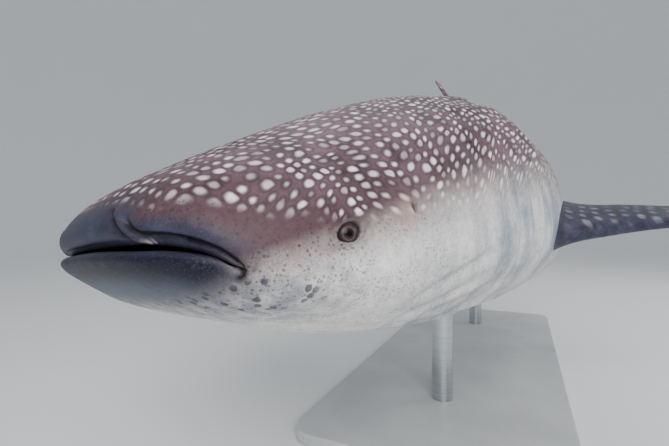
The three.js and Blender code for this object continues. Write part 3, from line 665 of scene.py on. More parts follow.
    def gill_relief(self, x: Array) -> tuple[Array, Array]:
        """Height of the gill flaps and the painted shade of their slits.

        A flap rises by a square towards its edge, drops past it below the plain skin, and the skin
        comes back to its level behind the slit.

        Args:
            x: distances from the snout.

        Returns:
            The heights, and the painted shade from 0 to 1.
        """
        flap, slit = np.zeros_like(x), np.zeros_like(x)
        edge, foot, sunk = -0.003, 0.0025, 0.35
        for k in range(self.gill_count):
            gap = x - self.gill(k)
            rising = np.clip(1 + (gap - edge) / (0.8 * self.gill_pitch), 0, 1) ** 2 * (gap < edge)
            drop = 1 - smooth(edge, foot, gap)
            falling = np.where(gap >= edge, drop * (1 + sunk) - sunk, 0) * (gap < foot)
            recover = -sunk * (1 - smooth(foot, 0.026, gap)) * (gap >= foot)
            flap = flap + self.gill_flap * (rising + falling + recover)
            slit = slit + hump(0.0015, 0.0045, gap)
        return flap, np.clip(slit, 0, 1)

    def arc(self, points: Array) -> Array:
        """Distance round the section from the middle of the back, from a table of plain sections.

        Args:
            points: (n, 3) points before the bend.

        Returns:
            (n,) distances, from the table by station and by share of the half width.
        """
        form = self.form
        stations = np.linspace(0.004, self.arc_end, 240)
        turn = np.linspace(0, 1, 160)
        angle = QUARTER_TURN * (1 - turn)[None, :]
        m = form.section(stations)[:, None]
        y = form.half_width(stations)[:, None] * np.cos(angle) ** (2 / m)
        z = form.height(stations, 0 * stations, 1 + 0 * stations)[:, None] * np.sin(angle) ** (2 / m)
        lengths = np.concatenate(
            [np.zeros((len(stations), 1)), np.cumsum(np.hypot(np.diff(y), np.diff(z)), axis=1)], axis=1)
        x, line = points[:, 0], form.side_line(points[:, 0])
        share = np.clip(np.abs(points[:, 1]) / np.maximum(form.half_width(np.maximum(x, 0.01)), 1e-4), 0, 1)
        own = np.arccos(share ** (form.section(x) / 2))
        row = np.clip((x - stations[0]) / (stations[1] - stations[0]), 0, len(stations) - 1.001)
        column = np.clip((1 - own / QUARTER_TURN) * (len(turn) - 1), 0, len(turn) - 1.001)
        i, j = row.astype(int), column.astype(int)
        a, b = row - i, column - j
        over = ((lengths[i, j] * (1 - b) + lengths[i, j + 1] * b) * (1 - a)
                + (lengths[i + 1, j] * (1 - b) + lengths[i + 1, j + 1] * b) * a)
        whole = lengths[i, -1] * (1 - a) + lengths[i + 1, -1] * a
        below = points[:, 2] < line
        return np.where(below, 2 * whole - over, over)

    def eye_centre(self, side: int) -> Array:
        """Centre of an eyeball, sunk below the skin by its radius less what stands proud."""
        skin = self.form.flank(self.eye_x, self.eye_z, side)
        normal = self.form.flank_normal(self.eye_x, self.eye_z, side)
        return skin + normal * (self.eye_proud - self.eye_radius)

    def creases(self) -> list[Crease]:
        """Folds and grooves of the left side; the right side has their mirror images.

        The tables give points in millimetres, then reach, depth, dark, pale and taper.

        Returns:
            The nasal groove, its flap, the flap's tip, the labial fold with the hook at the mouth's
            corner, the dark mark behind it, the fold under the eye with its painted shadow and the folds of
            the throat. Their dark is painted shade along grooves and folds.
        """
        tables = (
            ([(31, -172, 36), (26, -192, 23), (23, -206, 9), (24, -224, -9), (31, -240, -24),
              (40, -252, -32)], 0.0060, 0.007, 0.95, 0.0, 0.12),
            ([(28, -197, 32), (27, -229, 5), (32, -249, -14), (40, -264, -28), (50, -276, -38)],
             0.0070, -0.006, 0.0, 0.0, 0.12),
            ([(42, -266, -29), (48, -273, -37), (56, -281, -39), (63, -287, -36)],
             0.0034, -0.002, 0.0, 0.95, 0.35),
            ([(31, -236, 12), (33, -253, -8), (40, -263, -18), (46, -271, -23), (55, -285, -25),
              (72, -317, -30), (85, -335, -35), (103, -358, -45), (113, -369, -51),
              (124, -381, -59), (132, -389, -67), (141, -398, -77), (147, -403, -85),
              (150, -405, -93), (149, -403, -100), (145, -397, -106), (140, -389, -114)],
             0.0058, 0.010, 1.0, 0.0, 0.05),
            ([(155, -407, -86), (164, -412, -91), (170, -415, -98)], 0.0120, 0.002, 0.55, 0.0, 0.5),
            # The fold under the eye: a shallow groove with a painted shadow streak.
            ([(255, -450, -68), (290, -456, -64), (331, -460, -58), (370, -463, -50),
              (410, -465, -34)], 0.0150, 0.004, 0.30, 0.0, 0.3))
        folds = [Crease(np.array(line) / 1000, *sizes) for line, *sizes in tables]
        x = np.array([0.88, 0.82, 0.746, 0.66, 0.593, 0.52])
        z = np.array([-0.128, -0.149, -0.177, -0.208, -0.236, -0.262])
        for lift in (-0.085, -0.045, 0.0, 0.050):
            line = self.form.flank(x - 0.5 * lift, z + lift, -1)
            folds.append(Crease(line, 0.0110, 0.008, dark=0.20, taper=0.35))
        return folds

    def trunk_stations(self) -> Array:
        """Distances from the snout of the trunk's rows, closest at the gill slits."""
        near = np.array([-55, -40, -25, -12, -5.5, -3, -1.5, 0, 1.2, 2.5, 6, 12]) / 1000
        slits = np.unique(np.concatenate([self.gill(k) + near for k in range(self.gill_count)]))
        start, end = self.form.jaw_end, self.form.gills_end
        return np.concatenate([
            np.linspace(start + 0.006, slits[0] - 0.006, 4), slits,
            np.linspace(self.gill(-1) + 0.022, end, 8),
            end + (self.stalk_end - end) * np.linspace(0, 1, 72)[1:]])

    def dress(self, surface: Surface) -> None:
        """Builds the whole skin surface with its relief and values and adds it to a mesh.

        Args:
            surface: mesh to add to.
        """
        snout = self.snout_points()
        mouth = self.mouth_points()
        nape, _ = self.trunk_points(np.linspace(self.form.snout, self.form.jaw_end, 45)[1:], False)
        fine = np.concatenate([mouth, snout, nape])
        trunk, slit = self.trunk_points(self.trunk_stations(), True)
        rows, columns = fine.shape[:2]
        count = rows * columns
        numbers = np.arange(count).reshape(rows, columns)
        lips = len(mouth)
        for corner in (0, 2 * self.upper_columns):
            numbers[:lips, corner] = numbers[lips, corner]
        coarse_numbers = count + np.arange(trunk.shape[0] * trunk.shape[1]).reshape(trunk.shape[:2])
        faces = wrapped_rows(numbers)
        faces.append(halving_faces(numbers[-1], coarse_numbers[0]))
        faces += wrapped_rows(coarse_numbers)
        faces += [self.mouth_end(numbers[0]), cap_faces(coarse_numbers[-1])[:, ::-1]]

        points = np.concatenate([fine.reshape(-1, 3), trunk.reshape(-1, 3)])
        faces = facing_out(points, faces)
        normals = point_normals(points, faces)
        # Painted shade: the gill slits start the darkness values.
        dark = np.concatenate([np.zeros(count), slit.ravel()])
        # Inside of the mouth, which the hide darkens as painted shade.
        inner = np.zeros(len(points))
        inner[:lips * columns] = 1
        points, values = self.shape_details(points, normals, dark, inner)
        placed = self.mounting.carry(points)
        surface.add(placed, faces, values)

    def mouth_end(self, ring: Array) -> Array:
        """Quads that join the innermost rows of the roof and the floor, which has fewer spans."""
        roof = ring[:2 * self.upper_columns + 1]
        floor = np.append(ring[2 * self.upper_columns:], ring[0])[::-1]
        spans = (len(roof) - 1) / (len(floor) - 1)
        partner = np.clip(np.round(np.arange(len(roof)) / spans).astype(int), 0, len(floor) - 1)
        return np.stack([roof[:-1], roof[1:], floor[partner[1:]], floor[partner[:-1]]], axis=1)

    def eye_relief(self, points: Array, side: int) -> tuple[Array, Array]:
        """Socket, lid and ring fold of one eye, by the distance from the middle of its opening.

        Args:
            points: (n, 3) points before the bend.
            side: -1 for the left side and 1 for the right.

        Returns:
            (n,) heights over the plain skin, and (n,) painted shade in the socket and on the lid's outer
            slope.
        """
        normal = self.form.flank_normal(self.eye_x, self.eye_z, side)
        ahead = unit(np.array([1.0, 0, 0]) - normal * normal[0])
        above = np.cross(ahead, normal)
        above = above * np.sign(above[2])
        away = points - self.form.flank(self.eye_x, self.eye_z, side)
        u, v = turned(away @ ahead, away @ above, math.cos(self.eye_tilt), math.sin(self.eye_tilt))
        near = np.abs(away @ normal) < self.mark_depth
        radius = np.hypot(u / self.eye_opening[0], v / self.eye_opening[1])
        lid = 0.0062 * hump(0.0275, 0.0045, radius) * np.abs(v) / np.maximum(radius, 1e-4)
        fold = 0.0022 * hump(0.047, 0.006, radius) - 0.0018 * hump(0.038, 0.003, radius)
        socket = -0.017 * (1 - smooth(0.0165, 0.0265, radius))
        # Painted shade: dark in the socket round the ball, and a faint ring on the lid's outer slope.
        shade = 1 - smooth(0.0215, 0.0300, radius)
        shade = np.maximum(shade, 0.24 * hump(0.033, 0.009, radius))
        return np.where(near, lid + fold + socket, 0), np.where(near, shade, 0)

    def spiracle_relief(self, points: Array, side: int) -> tuple[Array, Array, Array]:
        """Hole of one spiracle with its low rim, and the warm patch ahead of it.

        Args:
            points: (n, 3) points before the bend.
            side: -1 for the left side and 1 for the right.

        Returns:
            (n,) heights over the plain skin, (n,) painted shade in the hole and (n,) warmth.
        """
        away = points - self.form.flank(self.spiracle_x, self.spiracle_z, side)
        u, v = turned(away[:, 0], away[:, 2], 0.94, 0.34)
        radius = np.hypot(u / self.spiracle_size[0], v / self.spiracle_size[1])
        near = np.abs(away[:, 1]) < self.mark_depth
        push = -0.014 * np.exp(-radius**2.5) + 0.001 * hump(1.8, 0.6, radius)
        warm = np.exp(-np.hypot((u + 0.028) / 0.034, (v - 0.002) / 0.024) ** 2)
        # exp(-radius^3) is painted shade in the hole.
        return tuple(np.where(near, part, 0) for part in (push, np.exp(-radius**3), warm))

    def shape_details(self, points: Array, normals: Array, dark: Array, inner: Array) -> tuple[Array, dict]:
        """Adds eye sockets, spiracles, creases and soft folds, and works out the values for the colours.

        Args:
            points: (n, 3) points before the bend.
            normals: (n, 3) outward normals.
            dark: (n,) painted shade so far, in the gill slits.
            inner: (n,) 1 inside the mouth.

        Returns:
            The moved points, and the values by name: those of markings, and pale on the flap's tip
            and blush ahead of the spiracle.
        """
        push, pale, blush = (np.zeros(len(points)) for _ in range(3))
        for side in (-1, 1):
            near = (np.sign(points[:, 1]) == side) & (inner < 0.5)
            lids, shade = self.eye_relief(points, side)
            hole, depth, warm = self.spiracle_relief(points, side)
            push = push + near * lids + near * hole
            # Painted shade in the eye sockets and the spiracle holes.
            dark = np.maximum(np.maximum(dark, near * shade), near * depth)
            blush = np.maximum(blush, near * warm)
            # Creases paint shade along their lines as darkness, and the flap's tip as pale.
            for crease in self.creases():
                profile = crease.profile(points, normals, side) * near
                push = push - crease.depth * profile
                dark = np.maximum(dark, crease.dark * profile**1.4)
                pale = np.maximum(pale, crease.pale * profile)
        push = push + self.soft_folds(*points.T)
        values = self.markings(points, np.clip(dark, 0, 1), inner)
        return points + normals * push[:, None], values | {"pale": pale, "blush": blush}

    def soft_folds(self, x: Array, y: Array, z: Array) -> Array:
        """Shallow folds of the throat: waves along the belly that fade up the cheek."""
        low = 1 - smooth(-0.26, -0.14, z)
        along = smooth(0.30, 0.60, x) * (1 - smooth(1.15, 1.5, x))
        wave = np.sin(np.abs(y) * 2 * math.pi / 0.085 + 1.3 * np.sin(x * 3.1))
        return 0.0035 * low * along * wave * smooth(0.03, 0.09, np.abs(y))

    def along(self, x: Array, y: Array) -> Array:
        """Distance over the skin from the tip of the snout: x and the extra length of its slope.

        Args:
            x: distances from the snout.
            y: distances from the middle.

        Returns:
            The distances over the skin.
        """
        form = self.form
        n = form.squareness
        stations = form.snout * np.linspace(0, 1, 400) ** 2
        top = form.height(stations, 0 * stations, 1 + 0 * stations)
        path = np.append(0, np.cumsum(np.hypot(np.diff(stations), np.diff(top))))
        share = (form.ahead(x) ** n + np.minimum(np.abs(y) / form.width(x), 1) ** n) ** (1 / n)
        return x + np.interp(form.snout * (1 - np.minimum(share, 1)), stations, path - stations)

    def pattern(self, x: Array, y: Array, arc: Array) -> Array:
        """Coordinates in which the spots of all parts of the body have one size.

        The distance along the skin is the integral of the closeness of the spots, and the distance
        round it is stretched over the eye, where the spots are closest, and drawn in on the trunk.

        Args:
            x: distances from the snout.
            y: distances from the middle.
            arc: distances from the middle of the back, round the section.

        Returns:
            (n, 3) coordinates, for the left side above 3 and for the right side below it.
        """
        closeness = Curve([(0, 1.7), (0.12, 1.35), (0.2, 1.1), (0.28, 1.3), (0.36, 1.65), (0.45, 1.35),
                           (0.56, 1.15), (0.9, 1.25), (1.3, 1.1), (2.2, 0.52), (6.2, 0.48)])
        stations = np.linspace(0, 6.4, 3200)
        total = np.append(0, np.cumsum(closeness(stations[:-1]) * np.diff(stations)))
        along = np.interp(self.along(x, y), stations, total)
        over_eye = 0.085 * smooth(0.34, 0.58, arc) * hump(0.36, 0.11, x)
        round_body = (arc + over_eye) * (1 + 0.35 * smooth(0.5, 1.0, x) - 0.87 * smooth(1.0, 2.4, x))
        return np.stack([along, round_body * np.where(y < 0, 1, -1) + 3.0, x], axis=1)

    def markings(self, points: Array, dark: Array, inner: Array) -> dict[str, Array]:
        """Values that steer the colours.

        belly is 0 on the back and 1 on the belly, plain is 1 where no spots lie, muzzle is 1 on the
        bluish front, lips and nasal flaps, jaw on the lower jaw, whose band under the mouth takes a
        painted shadow, and blotch where dark blotches lie. low is the height over the side line, which
        is the line of the mouth in front, and marks holds the coordinates of the spots.

        Args:
            points: (n, 3) points before the bend.
            dark: (n,) painted shade of slits, holes and creases.
            inner: (n,) 1 inside the mouth.

        Returns:
            Arrays by name.
        """
        x, y, z = points.T
        over_lip = z - self.form.side_line(x)
        boundary = Curve([(0, -0.16), (0.08, -0.135), (0.148, -0.105), (0.234, -0.081), (0.332, -0.058),
                          (0.464, -0.030), (0.603, 0.008), (0.80, 0.060), (1.0, 0.097), (1.5, 0.11),
                          (3.0, 0.05), (4.5, 0.10), (6.0, 0.12)])
        softness = Curve([(0, 0.05), (0.15, 0.045), (0.3, 0.05), (0.6, 0.075), (1.2, 0.11), (3.0, 0.12)])
        belly = 1 - smooth(-1, 1, (z - boundary(x)) / softness(x))
        lowest = Curve([(0, 0.110), (0.037, 0.088), (0.058, 0.070), (0.115, 0.090), (0.173, 0.104),
                        (0.25, 0.104), (0.311, 0.090), (0.42, 0.075), (0.60, 0.060), (1.0, 0.02),
                        (1.3, -0.3)])
        plain = 1 - smooth(-0.016, 0.022, over_lip - lowest(x))
        front = x - np.where(x < self.form.snout, self.form.outline_x(y), 0)
        middle = 1 - smooth(0.17, 0.27, np.abs(y))
        band = (1 - smooth(0.028, 0.064, over_lip)) * (1 - smooth(0.09, 0.20, x))
        tip = (1 - smooth(0.045, 0.125, over_lip)) * (1 - smooth(0.02, 0.10, front)) * middle
        flap = np.exp(-((x - 0.030) ** 2 + (np.abs(y) - 0.232) ** 2 + (z - 0.005) ** 2) / 0.038**2)
        muzzle = np.maximum(np.maximum(0.85 * band, tip), 0.8 * flap)
        jaw = (1 - smooth(-0.02, 0.0, over_lip)) * (1 - smooth(0.10, 0.20, x))
        blotch = hump(0.19, 0.075, x) * hump(-0.135, 0.030, z)
        return {
            "belly": belly, "plain": plain, "muzzle": np.clip(muzzle, 0, 1), "dark": dark,
            "inner": inner, "jaw": jaw, "blotch": blotch, "low": over_lip,
            "marks": self.pattern(x, y, self.arc(points)),
        }


class Signal:
    """A number or colour that varies over a surface; arithmetic on it adds Math nodes."""

    def __init__(self, nodes: "Nodes", socket: bpy.types.NodeSocket) -> None:
        """Wraps an output socket."""
        self.nodes = nodes
        self.socket = socket

    def __add__(self, other: "Signal | float") -> "Signal":
        """The sum."""
        return self.nodes.math("ADD", self, other)

    def __sub__(self, other: "Signal | float") -> "Signal":
        """The difference."""
        return self.nodes.math("SUBTRACT", self, other)

    def __rsub__(self, other: float) -> "Signal":
        """A number less this signal."""
        return self.nodes.math("SUBTRACT", other, self)

    def __mul__(self, other: "Signal | float") -> "Signal":
        """The product."""
        return self.nodes.math("MULTIPLY", self, other)

    def __truediv__(self, other: "Signal | float") -> "Signal":
        """The quotient."""
        return self.nodes.math("DIVIDE", self, other)

    __radd__ = __add__
    __rmul__ = __mul__

    def clamped(self) -> "Signal":
        """The signal held between 0 and 1."""
        return self.nodes.math("MINIMUM", self.nodes.math("MAXIMUM", self, 0.0), 1.0)

    def step(self, start: float, end: float) -> "Signal":
        """0 before start and 1 after end, with a smooth rise between."""
        return self.nodes.make(
            "ShaderNodeMapRange", {"interpolation_type": "SMOOTHSTEP"},
            {"Value": self, "From Min": start, "From Max": end, "To Min": 0.0, "To Max": 1.0})


@dataclass
class Nodes:
    """The nodes of one material, made one at a time."""

    tree: bpy.types.NodeTree

    def make(self, kind: str, settings: dict | None = None, inputs: dict | None = None,
             output: int | str = 0) -> Signal:
        """Makes a node with its settings first, then the values or links of its sockets.

        Args:
            kind: type of the node.
            settings: properties of the node; "stops" gives a ramp's (position, colour) pairs.
            inputs: values or signals by socket name or number.
            output: name or number of the output that is used.

        Returns:
            The output as a signal.
        """
        node = self.tree.nodes.new(kind)
        for name, value in (settings or {}).items():
            if name == "stops":
                ramp = node.color_ramp
                while len(ramp.elements) < len(value):
                    ramp.elements.new(1.0)
                for element, (position, colour) in zip(ramp.elements, value):
                    element.position = position
                    element.color = colour
            else:
                setattr(node, name, value)
        for name, value in (inputs or {}).items():
            if isinstance(value, Signal):
                self.tree.links.new(value.socket, node.inputs[name])
            else:
                node.inputs[name].default_value = value
        return Signal(self, node.outputs[output])

    def math(self, operation: str, a: Signal | float, b: Signal | float = 0.0) -> Signal:
        """One Math node."""
        return self.make("ShaderNodeMath", {"operation": operation}, {0: a, 1: b})

    def vector(self, operation: str, a: Signal | tuple, b: Signal | tuple) -> Signal:
        """One Vector Math node."""
        return self.make("ShaderNodeVectorMath", {"operation": operation}, {0: a, 1: b})

    def value(self, name: str, output: str = "Fac") -> Signal:
        """A value that the mesh carries at its points."""
        return self.make("ShaderNodeAttribute", {"attribute_name": name}, None, output)

    def part(self, tint: Signal, name: str) -> Signal:
        """One channel of a colour."""
        return self.make("ShaderNodeSeparateColor", None, {"Color": tint}, name)

    def place(self) -> Signal:
        """Object coordinates, in metres."""
        return self.make("ShaderNodeTexCoord", None, None, "Object")

    def noise(self, where: Signal, scale: float, detail: float = 3.0, rough: float = 0.55) -> Signal:
        """Noise from 0 to 1."""
        return self.make("ShaderNodeTexNoise", None, {
            "Vector": where, "Scale": scale, "Detail": detail, "Roughness": rough})

    def cells(self, where: Signal, scale: float, output: str, loose: float = 1.0,
              **settings: str) -> Signal:
        """One output of a Voronoi texture: cells about points that stray from a grid by loose."""
        return self.make("ShaderNodeTexVoronoi", settings, {
            "Vector": where, "Scale": scale, "Randomness": loose}, output)

    def bump(self, strength: float, height: Signal) -> Signal:
        """Normals of a relief whose height is in metres."""
        return self.make("ShaderNodeBump", None, {
            "Strength": strength, "Distance": 1.0, "Height": height})

    def blend(self, factor: Signal | float, a: Signal | tuple, b: Signal | tuple,
              kind: str = "MIX") -> Signal:
        """Colour a where factor is 0 and b where it is 1."""
        settings = {"data_type": "RGBA", "blend_type": kind, "clamp_factor": True}
        return self.make("ShaderNodeMix", settings, {0: factor, 6: a, 7: b}, 2)


def colour(red: float, green: float, blue: float) -> tuple[float, float, float, float]:
    """A picture colour from 0 to 255 as the linear value that a shader takes."""
    parts = [part / 255 for part in (red, green, blue)]
    linear = [p / 12.92 if p <= 0.04045 else ((p + 0.055) / 1.055) ** 2.4 for p in parts]
    return (*linear, 1.0)


@dataclass(frozen=True)
class Finish:
    """A material with one principled shader."""

    name: str
    roughness: float = 0.5
    metallic: float = 0.0
    gloss: float = 0.5

    def start(self) -> tuple[bpy.types.Material, Nodes, bpy.types.Node]:
        """Makes the material with its shader.

        Returns:
            The material, its node maker and its shader node.
        """
        material = bpy.data.materials.new(self.name)
        material.use_nodes = True
        tree = material.node_tree
        shader = tree.nodes["Principled BSDF"]
        shader.inputs["Roughness"].default_value = self.roughness
        shader.inputs["Metallic"].default_value = self.metallic
        shader.inputs["Specular IOR Level"].default_value = self.gloss
        return material, Nodes(tree), shader

    @staticmethod
    def join(nodes: Nodes, shader: bpy.types.Node, **signals: Signal) -> None:
        """Links signals to the shader's sockets, named with underscores for spaces."""
        for name, signal in signals.items():
            nodes.tree.links.new(signal.socket, shader.inputs[name.replace("_", " ").title()])


@dataclass(frozen=True)
class SharkHide(Finish):
    """The hide: dark back with loose rows of pale spots, bluish muzzle, freckled snout, pale belly, and
    painted shade on the cheek, under the lip and in the hollows.
    """

    name: str = "shark_hide"
    gloss: float = 0.20
    back: tuple = colour(140, 107, 121)
    back_deep: tuple = colour(24, 11, 17)
    brown: tuple = colour(86, 63, 67)
    spot: tuple = colour(255, 240, 246)
    belly: tuple = colour(243, 239, 235)
    belly_shade: tuple = colour(130, 144, 158)
    muzzle: tuple = colour(18, 31, 55)
    muzzle_pale: tuple = colour(54, 67, 93)
    jaw_lip_shadow: tuple = colour(17, 18, 36)
    jaw_low: tuple = colour(86, 101, 122)
    warm: tuple = colour(184, 150, 134)
    speck: tuple = colour(50, 48, 60)
    # Painted shade for slits, holes, creases and the inside of the mouth.
    hollow_shade: tuple = colour(16, 15, 20)
    worn: tuple = (0.50, 0.52, 0.56, 1.0)
    cheek_shadow: tuple = colour(96, 105, 120)
    cell: tuple[float, float] = (0.046, 0.031)
    spot_radius: float = 0.325
    spot_looseness: float = 0.36

    def spots(self, nodes: Nodes, where: Signal, cell: tuple, radius: float, loose: float) -> tuple:
        """Round soft spots, one to each cell of a loosened grid, of varied size and strength.

        Args:
            nodes: node maker.
            where: distance along and round the body.
            cell: length and height of a cell, in metres.
            radius: largest radius of a spot as a share of a cell.
            loose: how far spots stray from the rows, 0 to 1.

        Returns:
            Mask of the spots, and mask of the spots with the skin close round them.
        """
        scaled = nodes.vector("MULTIPLY", where, (1 / cell[0], 1 / cell[1], 0.0))
        flat, plane = {"noise_dimensions": "2D"}, {"voronoi_dimensions": "2D"}
        warp = nodes.make("ShaderNodeTexNoise", flat, {
            "Vector": scaled, "Scale": 0.30, "Detail": 0.0}, "Color")
        bent = nodes.vector("SUBTRACT", warp, (0.5, 0.5, 0.5))
        bent = nodes.vector("MULTIPLY", bent, (1.0, 1.0, 0.0))
        shifted = nodes.vector("ADD", scaled, bent)
        away = nodes.cells(shifted, 1.0, "Distance", loose, **plane)
        chance = nodes.cells(shifted, 1.0, "Color", loose, **plane)
        border = nodes.cells(shifted, 1.0, "Distance", loose, feature="DISTANCE_TO_EDGE", **plane)
        wobble = nodes.make("ShaderNodeTexNoise", flat, {
            "Vector": scaled, "Scale": 2.2, "Detail": 1.0}) * 0.14 - 0.07
        size = nodes.part(chance, "Red") * (0.60 * radius) + 0.45 * radius
        inside = size - away - wobble
        strength = nodes.part(chance, "Green") * 0.75 + 0.32
        core, glow = inside.step(-0.10, 0.16), inside.step(-0.24, 0.12)
        spots = (core * 0.62 + glow * 0.38) * strength * border.step(0.0, 0.24)
        return spots.clamped(), inside.step(-0.36, -0.10)

    def make(self) -> bpy.types.Material:
        """Builds the material, from the back and belly over the muzzle to freckles, wear and the painted
        shade of the cheek, the lip and the hollows.

        Returns:
            The material.
        """
        material, nodes, shader = self.start()
        where, marks = nodes.place(), nodes.value("marks", "Vector")
        belly, plain, muzzle, dark, inner, jaw, pale, blotch, low, blush = (
            nodes.value(name) for name in ("belly", "plain", "muzzle", "dark", "inner", "jaw", "pale",
                                           "blotch", "low", "blush"))
        along = nodes.make("ShaderNodeSeparateXYZ", None, {"Vector": marks}, "Z")
        cloudy = nodes.noise(where, 5.0, 5.0)
        mottle = nodes.noise(where, 26.0, 4.0)
        grain = nodes.noise(where, 85.0, 6.0, 0.70)
        spots, rim = self.spots(nodes, marks, self.cell, self.spot_radius, self.spot_looseness)
        open_back = (1 - plain) * (1 - dark)
        spotted = spots * open_back

        tone = cloudy.step(0.30, 0.70) * 0.6 + mottle.step(0.3, 0.7) * 0.4
        back = nodes.blend(tone, self.back_deep, self.back)
        back = nodes.blend((1 - low.step(0.09, 0.24)) * 0.6, back, self.brown)
        back = nodes.blend(rim * open_back * 0.55, back, self.back_deep)
        back = nodes.blend((plain * (mottle * 0.8 + 0.45)).clamped(), back, self.brown)
        hide = nodes.blend(spotted.clamped() * 0.92, back, self.spot)

        streaks = nodes.vector("MULTIPLY", where, (13.0, 5.0, 2.4))
        streaky = nodes.noise(streaks, 1.0, 3.0).step(0.36, 0.66)
        shaded = (cloudy.step(0.3, 0.75) * 0.45 + streaky * 0.55) * along.step(0.30, 0.95)
        under = nodes.blend(shaded, self.belly, self.belly_shade)
        edge = (belly + (mottle - 0.5) * (belly * (1 - belly) * 3)).clamped()
        hide = nodes.blend(edge, hide, under)
        # Painted shadow on the cheek behind the mouth's corner, mottled, in a bluish grey.
        shadow = (1 - along.step(0.20, 0.46)) * low.step(-0.15, -0.05)
        shadow = shadow * (mottle.step(0.3, 0.65) * 0.5 + 0.35)
        hide = nodes.blend(shadow * belly * 0.85, hide, self.cheek_shadow)
        hide = nodes.blend(edge * (1 - edge) * (0.8 - along.step(0.5, 1.1) * 0.5), hide, self.warm)

        front = nodes.blend(mottle.step(0.35, 0.7), self.muzzle, self.muzzle_pale)
        hide = nodes.blend(muzzle * 0.9, hide, front)
        # Painted shadow: a dark band under the upper lip on the lower jaw, fading down to the jaw's own
        # grey-blue.
        lower = (low * -1.0 + (mottle - 0.5) * 0.04).step(0.035, 0.085)
        hide = nodes.blend(jaw * (1 - belly), hide, nodes.blend(lower, self.jaw_lip_shadow, self.jaw_low))
        hide = nodes.blend(blush * 0.34, hide, self.warm)

        chosen = nodes.part(nodes.cells(where, 135.0, "Color"), "Blue")
        freckles = (chosen * 0.44 - nodes.cells(where, 135.0, "Distance")).step(-0.08, 0.06)
        fine = (nodes.noise(where, 430.0, 0.0).step(0.55, 0.70) * 0.6 + freckles).clamped()
        light = nodes.noise(where, 380.0, 0.0).step(0.58, 0.74)
        patchy = nodes.noise(where, 12.0, 2.0).step(0.32, 0.60)
        freckled = plain * (0.95 - 0.6 * along.step(0.40, 0.95))
        speckled = (muzzle + jaw * 0.8 + freckled).clamped()
        speckled = speckled * (patchy * 0.75 + 0.25) * (1 - belly * 0.25)
        hide = nodes.blend(fine * speckled * 0.78, hide, self.speck)
        hide = nodes.blend(light * (muzzle + jaw * 0.5).clamped() * 0.09, hide, self.belly_shade)
        blots = (0.30 - nodes.cells(where, 40.0, "Distance") + (grain - 0.5) * 0.1).step(-0.03, 0.05)
        hide = nodes.blend(blots * blotch.step(0.2, 0.5) * 0.8, hide, self.speck)

        rubbed = grain.step(0.40, 0.62) * 0.55 + mottle.step(0.35, 0.65) * 0.45
        rubbed = rubbed * (1 - spotted * 0.7)
        hide = nodes.blend(rubbed * 0.62, hide, self.worn, "MULTIPLY")
        # Painted shade: slits, holes, creases and the inside of the mouth darken to the hollow colour; the
        # flap's tip turns pale.
        for factor, tint in ((pale * 0.85, self.spot), (dark, self.hollow_shade), (inner, self.hollow_shade)):
            hide = nodes.blend(factor, hide, tint)
        height = grain * 0.0007 + mottle * 0.0015 + spotted * 0.0003
        self.join(nodes, shader, base_color=hide, roughness=0.40 + mottle * 0.18 + inner * 0.2,
                  normal=nodes.bump(0.6, height))
        return material


@dataclass(frozen=True)
class EyeGlass(Finish):
    """The eye: black pupil, dark brown iris with a lighter ring, smooth surface."""

    name: str = "eye_glass"
    roughness: float = 0.26
    gloss: float = 0.14

    def make(self, centre: Array, axis: Array) -> bpy.types.Material:
        """Builds the material of one eye.

        Args:
            centre: centre of the eyeball in the frame of the solids.
            axis: direction in which the eye looks.

        Returns:
            The material.
        """
        material, nodes, shader = self.start()
        away = nodes.vector("SUBTRACT", nodes.place(), tuple(centre))
        length = nodes.make("ShaderNodeVectorMath", {"operation": "LENGTH"}, {0: away}, "Value")
        ahead = nodes.make(
            "ShaderNodeVectorMath", {"operation": "DOT_PRODUCT"}, {0: away, 1: tuple(axis)}, "Value")
        turned = 1 - ahead / length
        grain = nodes.noise(away, 260.0, 3.0) * 0.05
        level = (turned + grain - 0.025) * 4.0
        tones = nodes.make("ShaderNodeValToRGB", {"stops": [
            (0.0, colour(8, 7, 10)), (0.09, colour(10, 9, 12)), (0.12, colour(38, 30, 32)),
            (0.28, colour(54, 42, 43)), (0.40, colour(92, 74, 74)), (0.50, colour(58, 47, 49)),
            (0.85, colour(40, 34, 37))]}, {"Fac": level})
        self.join(nodes, shader, base_color=tones)
        return material


@dataclass(frozen=True)
class StandPaint(Finish):
    """Satin paint of the stand's plate: a nearly even tone with a faint orange-peel."""

    name: str = "stand_paint"
    roughness: float = 0.4
    tone: tuple = colour(196, 199, 200)
    shade: tuple = colour(184, 187, 189)

    def make(self) -> bpy.types.Material:
        """Builds the material.

        Returns:
            The material.
        """
        material, nodes, shader = self.start()
        where = nodes.place()
        cloudy = nodes.noise(where, 3.0, 4.0)
        coat = nodes.blend(cloudy.step(0.3, 0.7), self.tone, self.shade)
        peel = nodes.noise(where, 400.0, 2.0) * 0.0003
        self.join(nodes, shader, base_color=coat, roughness=0.36 + cloudy * 0.12,
                  normal=nodes.bump(0.3, peel))
        return material


@dataclass(frozen=True)
class RodSteel(Finish):
    """Brushed steel of the rods, with fine lines round them."""

    name: str = "rod_steel"
    roughness: float = 0.3
    metallic: float = 1.0
    tone: tuple = colour(202, 205, 207)
    shade: tuple = colour(176, 180, 183)

    def make(self) -> bpy.types.Material:
        """Builds the material.

        Returns:
            The material.
        """
        material, nodes, shader = self.start()
        lines = nodes.vector("MULTIPLY", nodes.place(), (2.0, 2.0, 700.0))
        brushed = nodes.noise(lines, 1.0, 3.0)
        tone = nodes.blend(brushed.step(0.3, 0.7), self.shade, self.tone)
        self.join(nodes, shader, base_color=tone, roughness=0.22 + brushed * 0.16,
                  normal=nodes.bump(0.25, brushed * 0.0002))
        return material


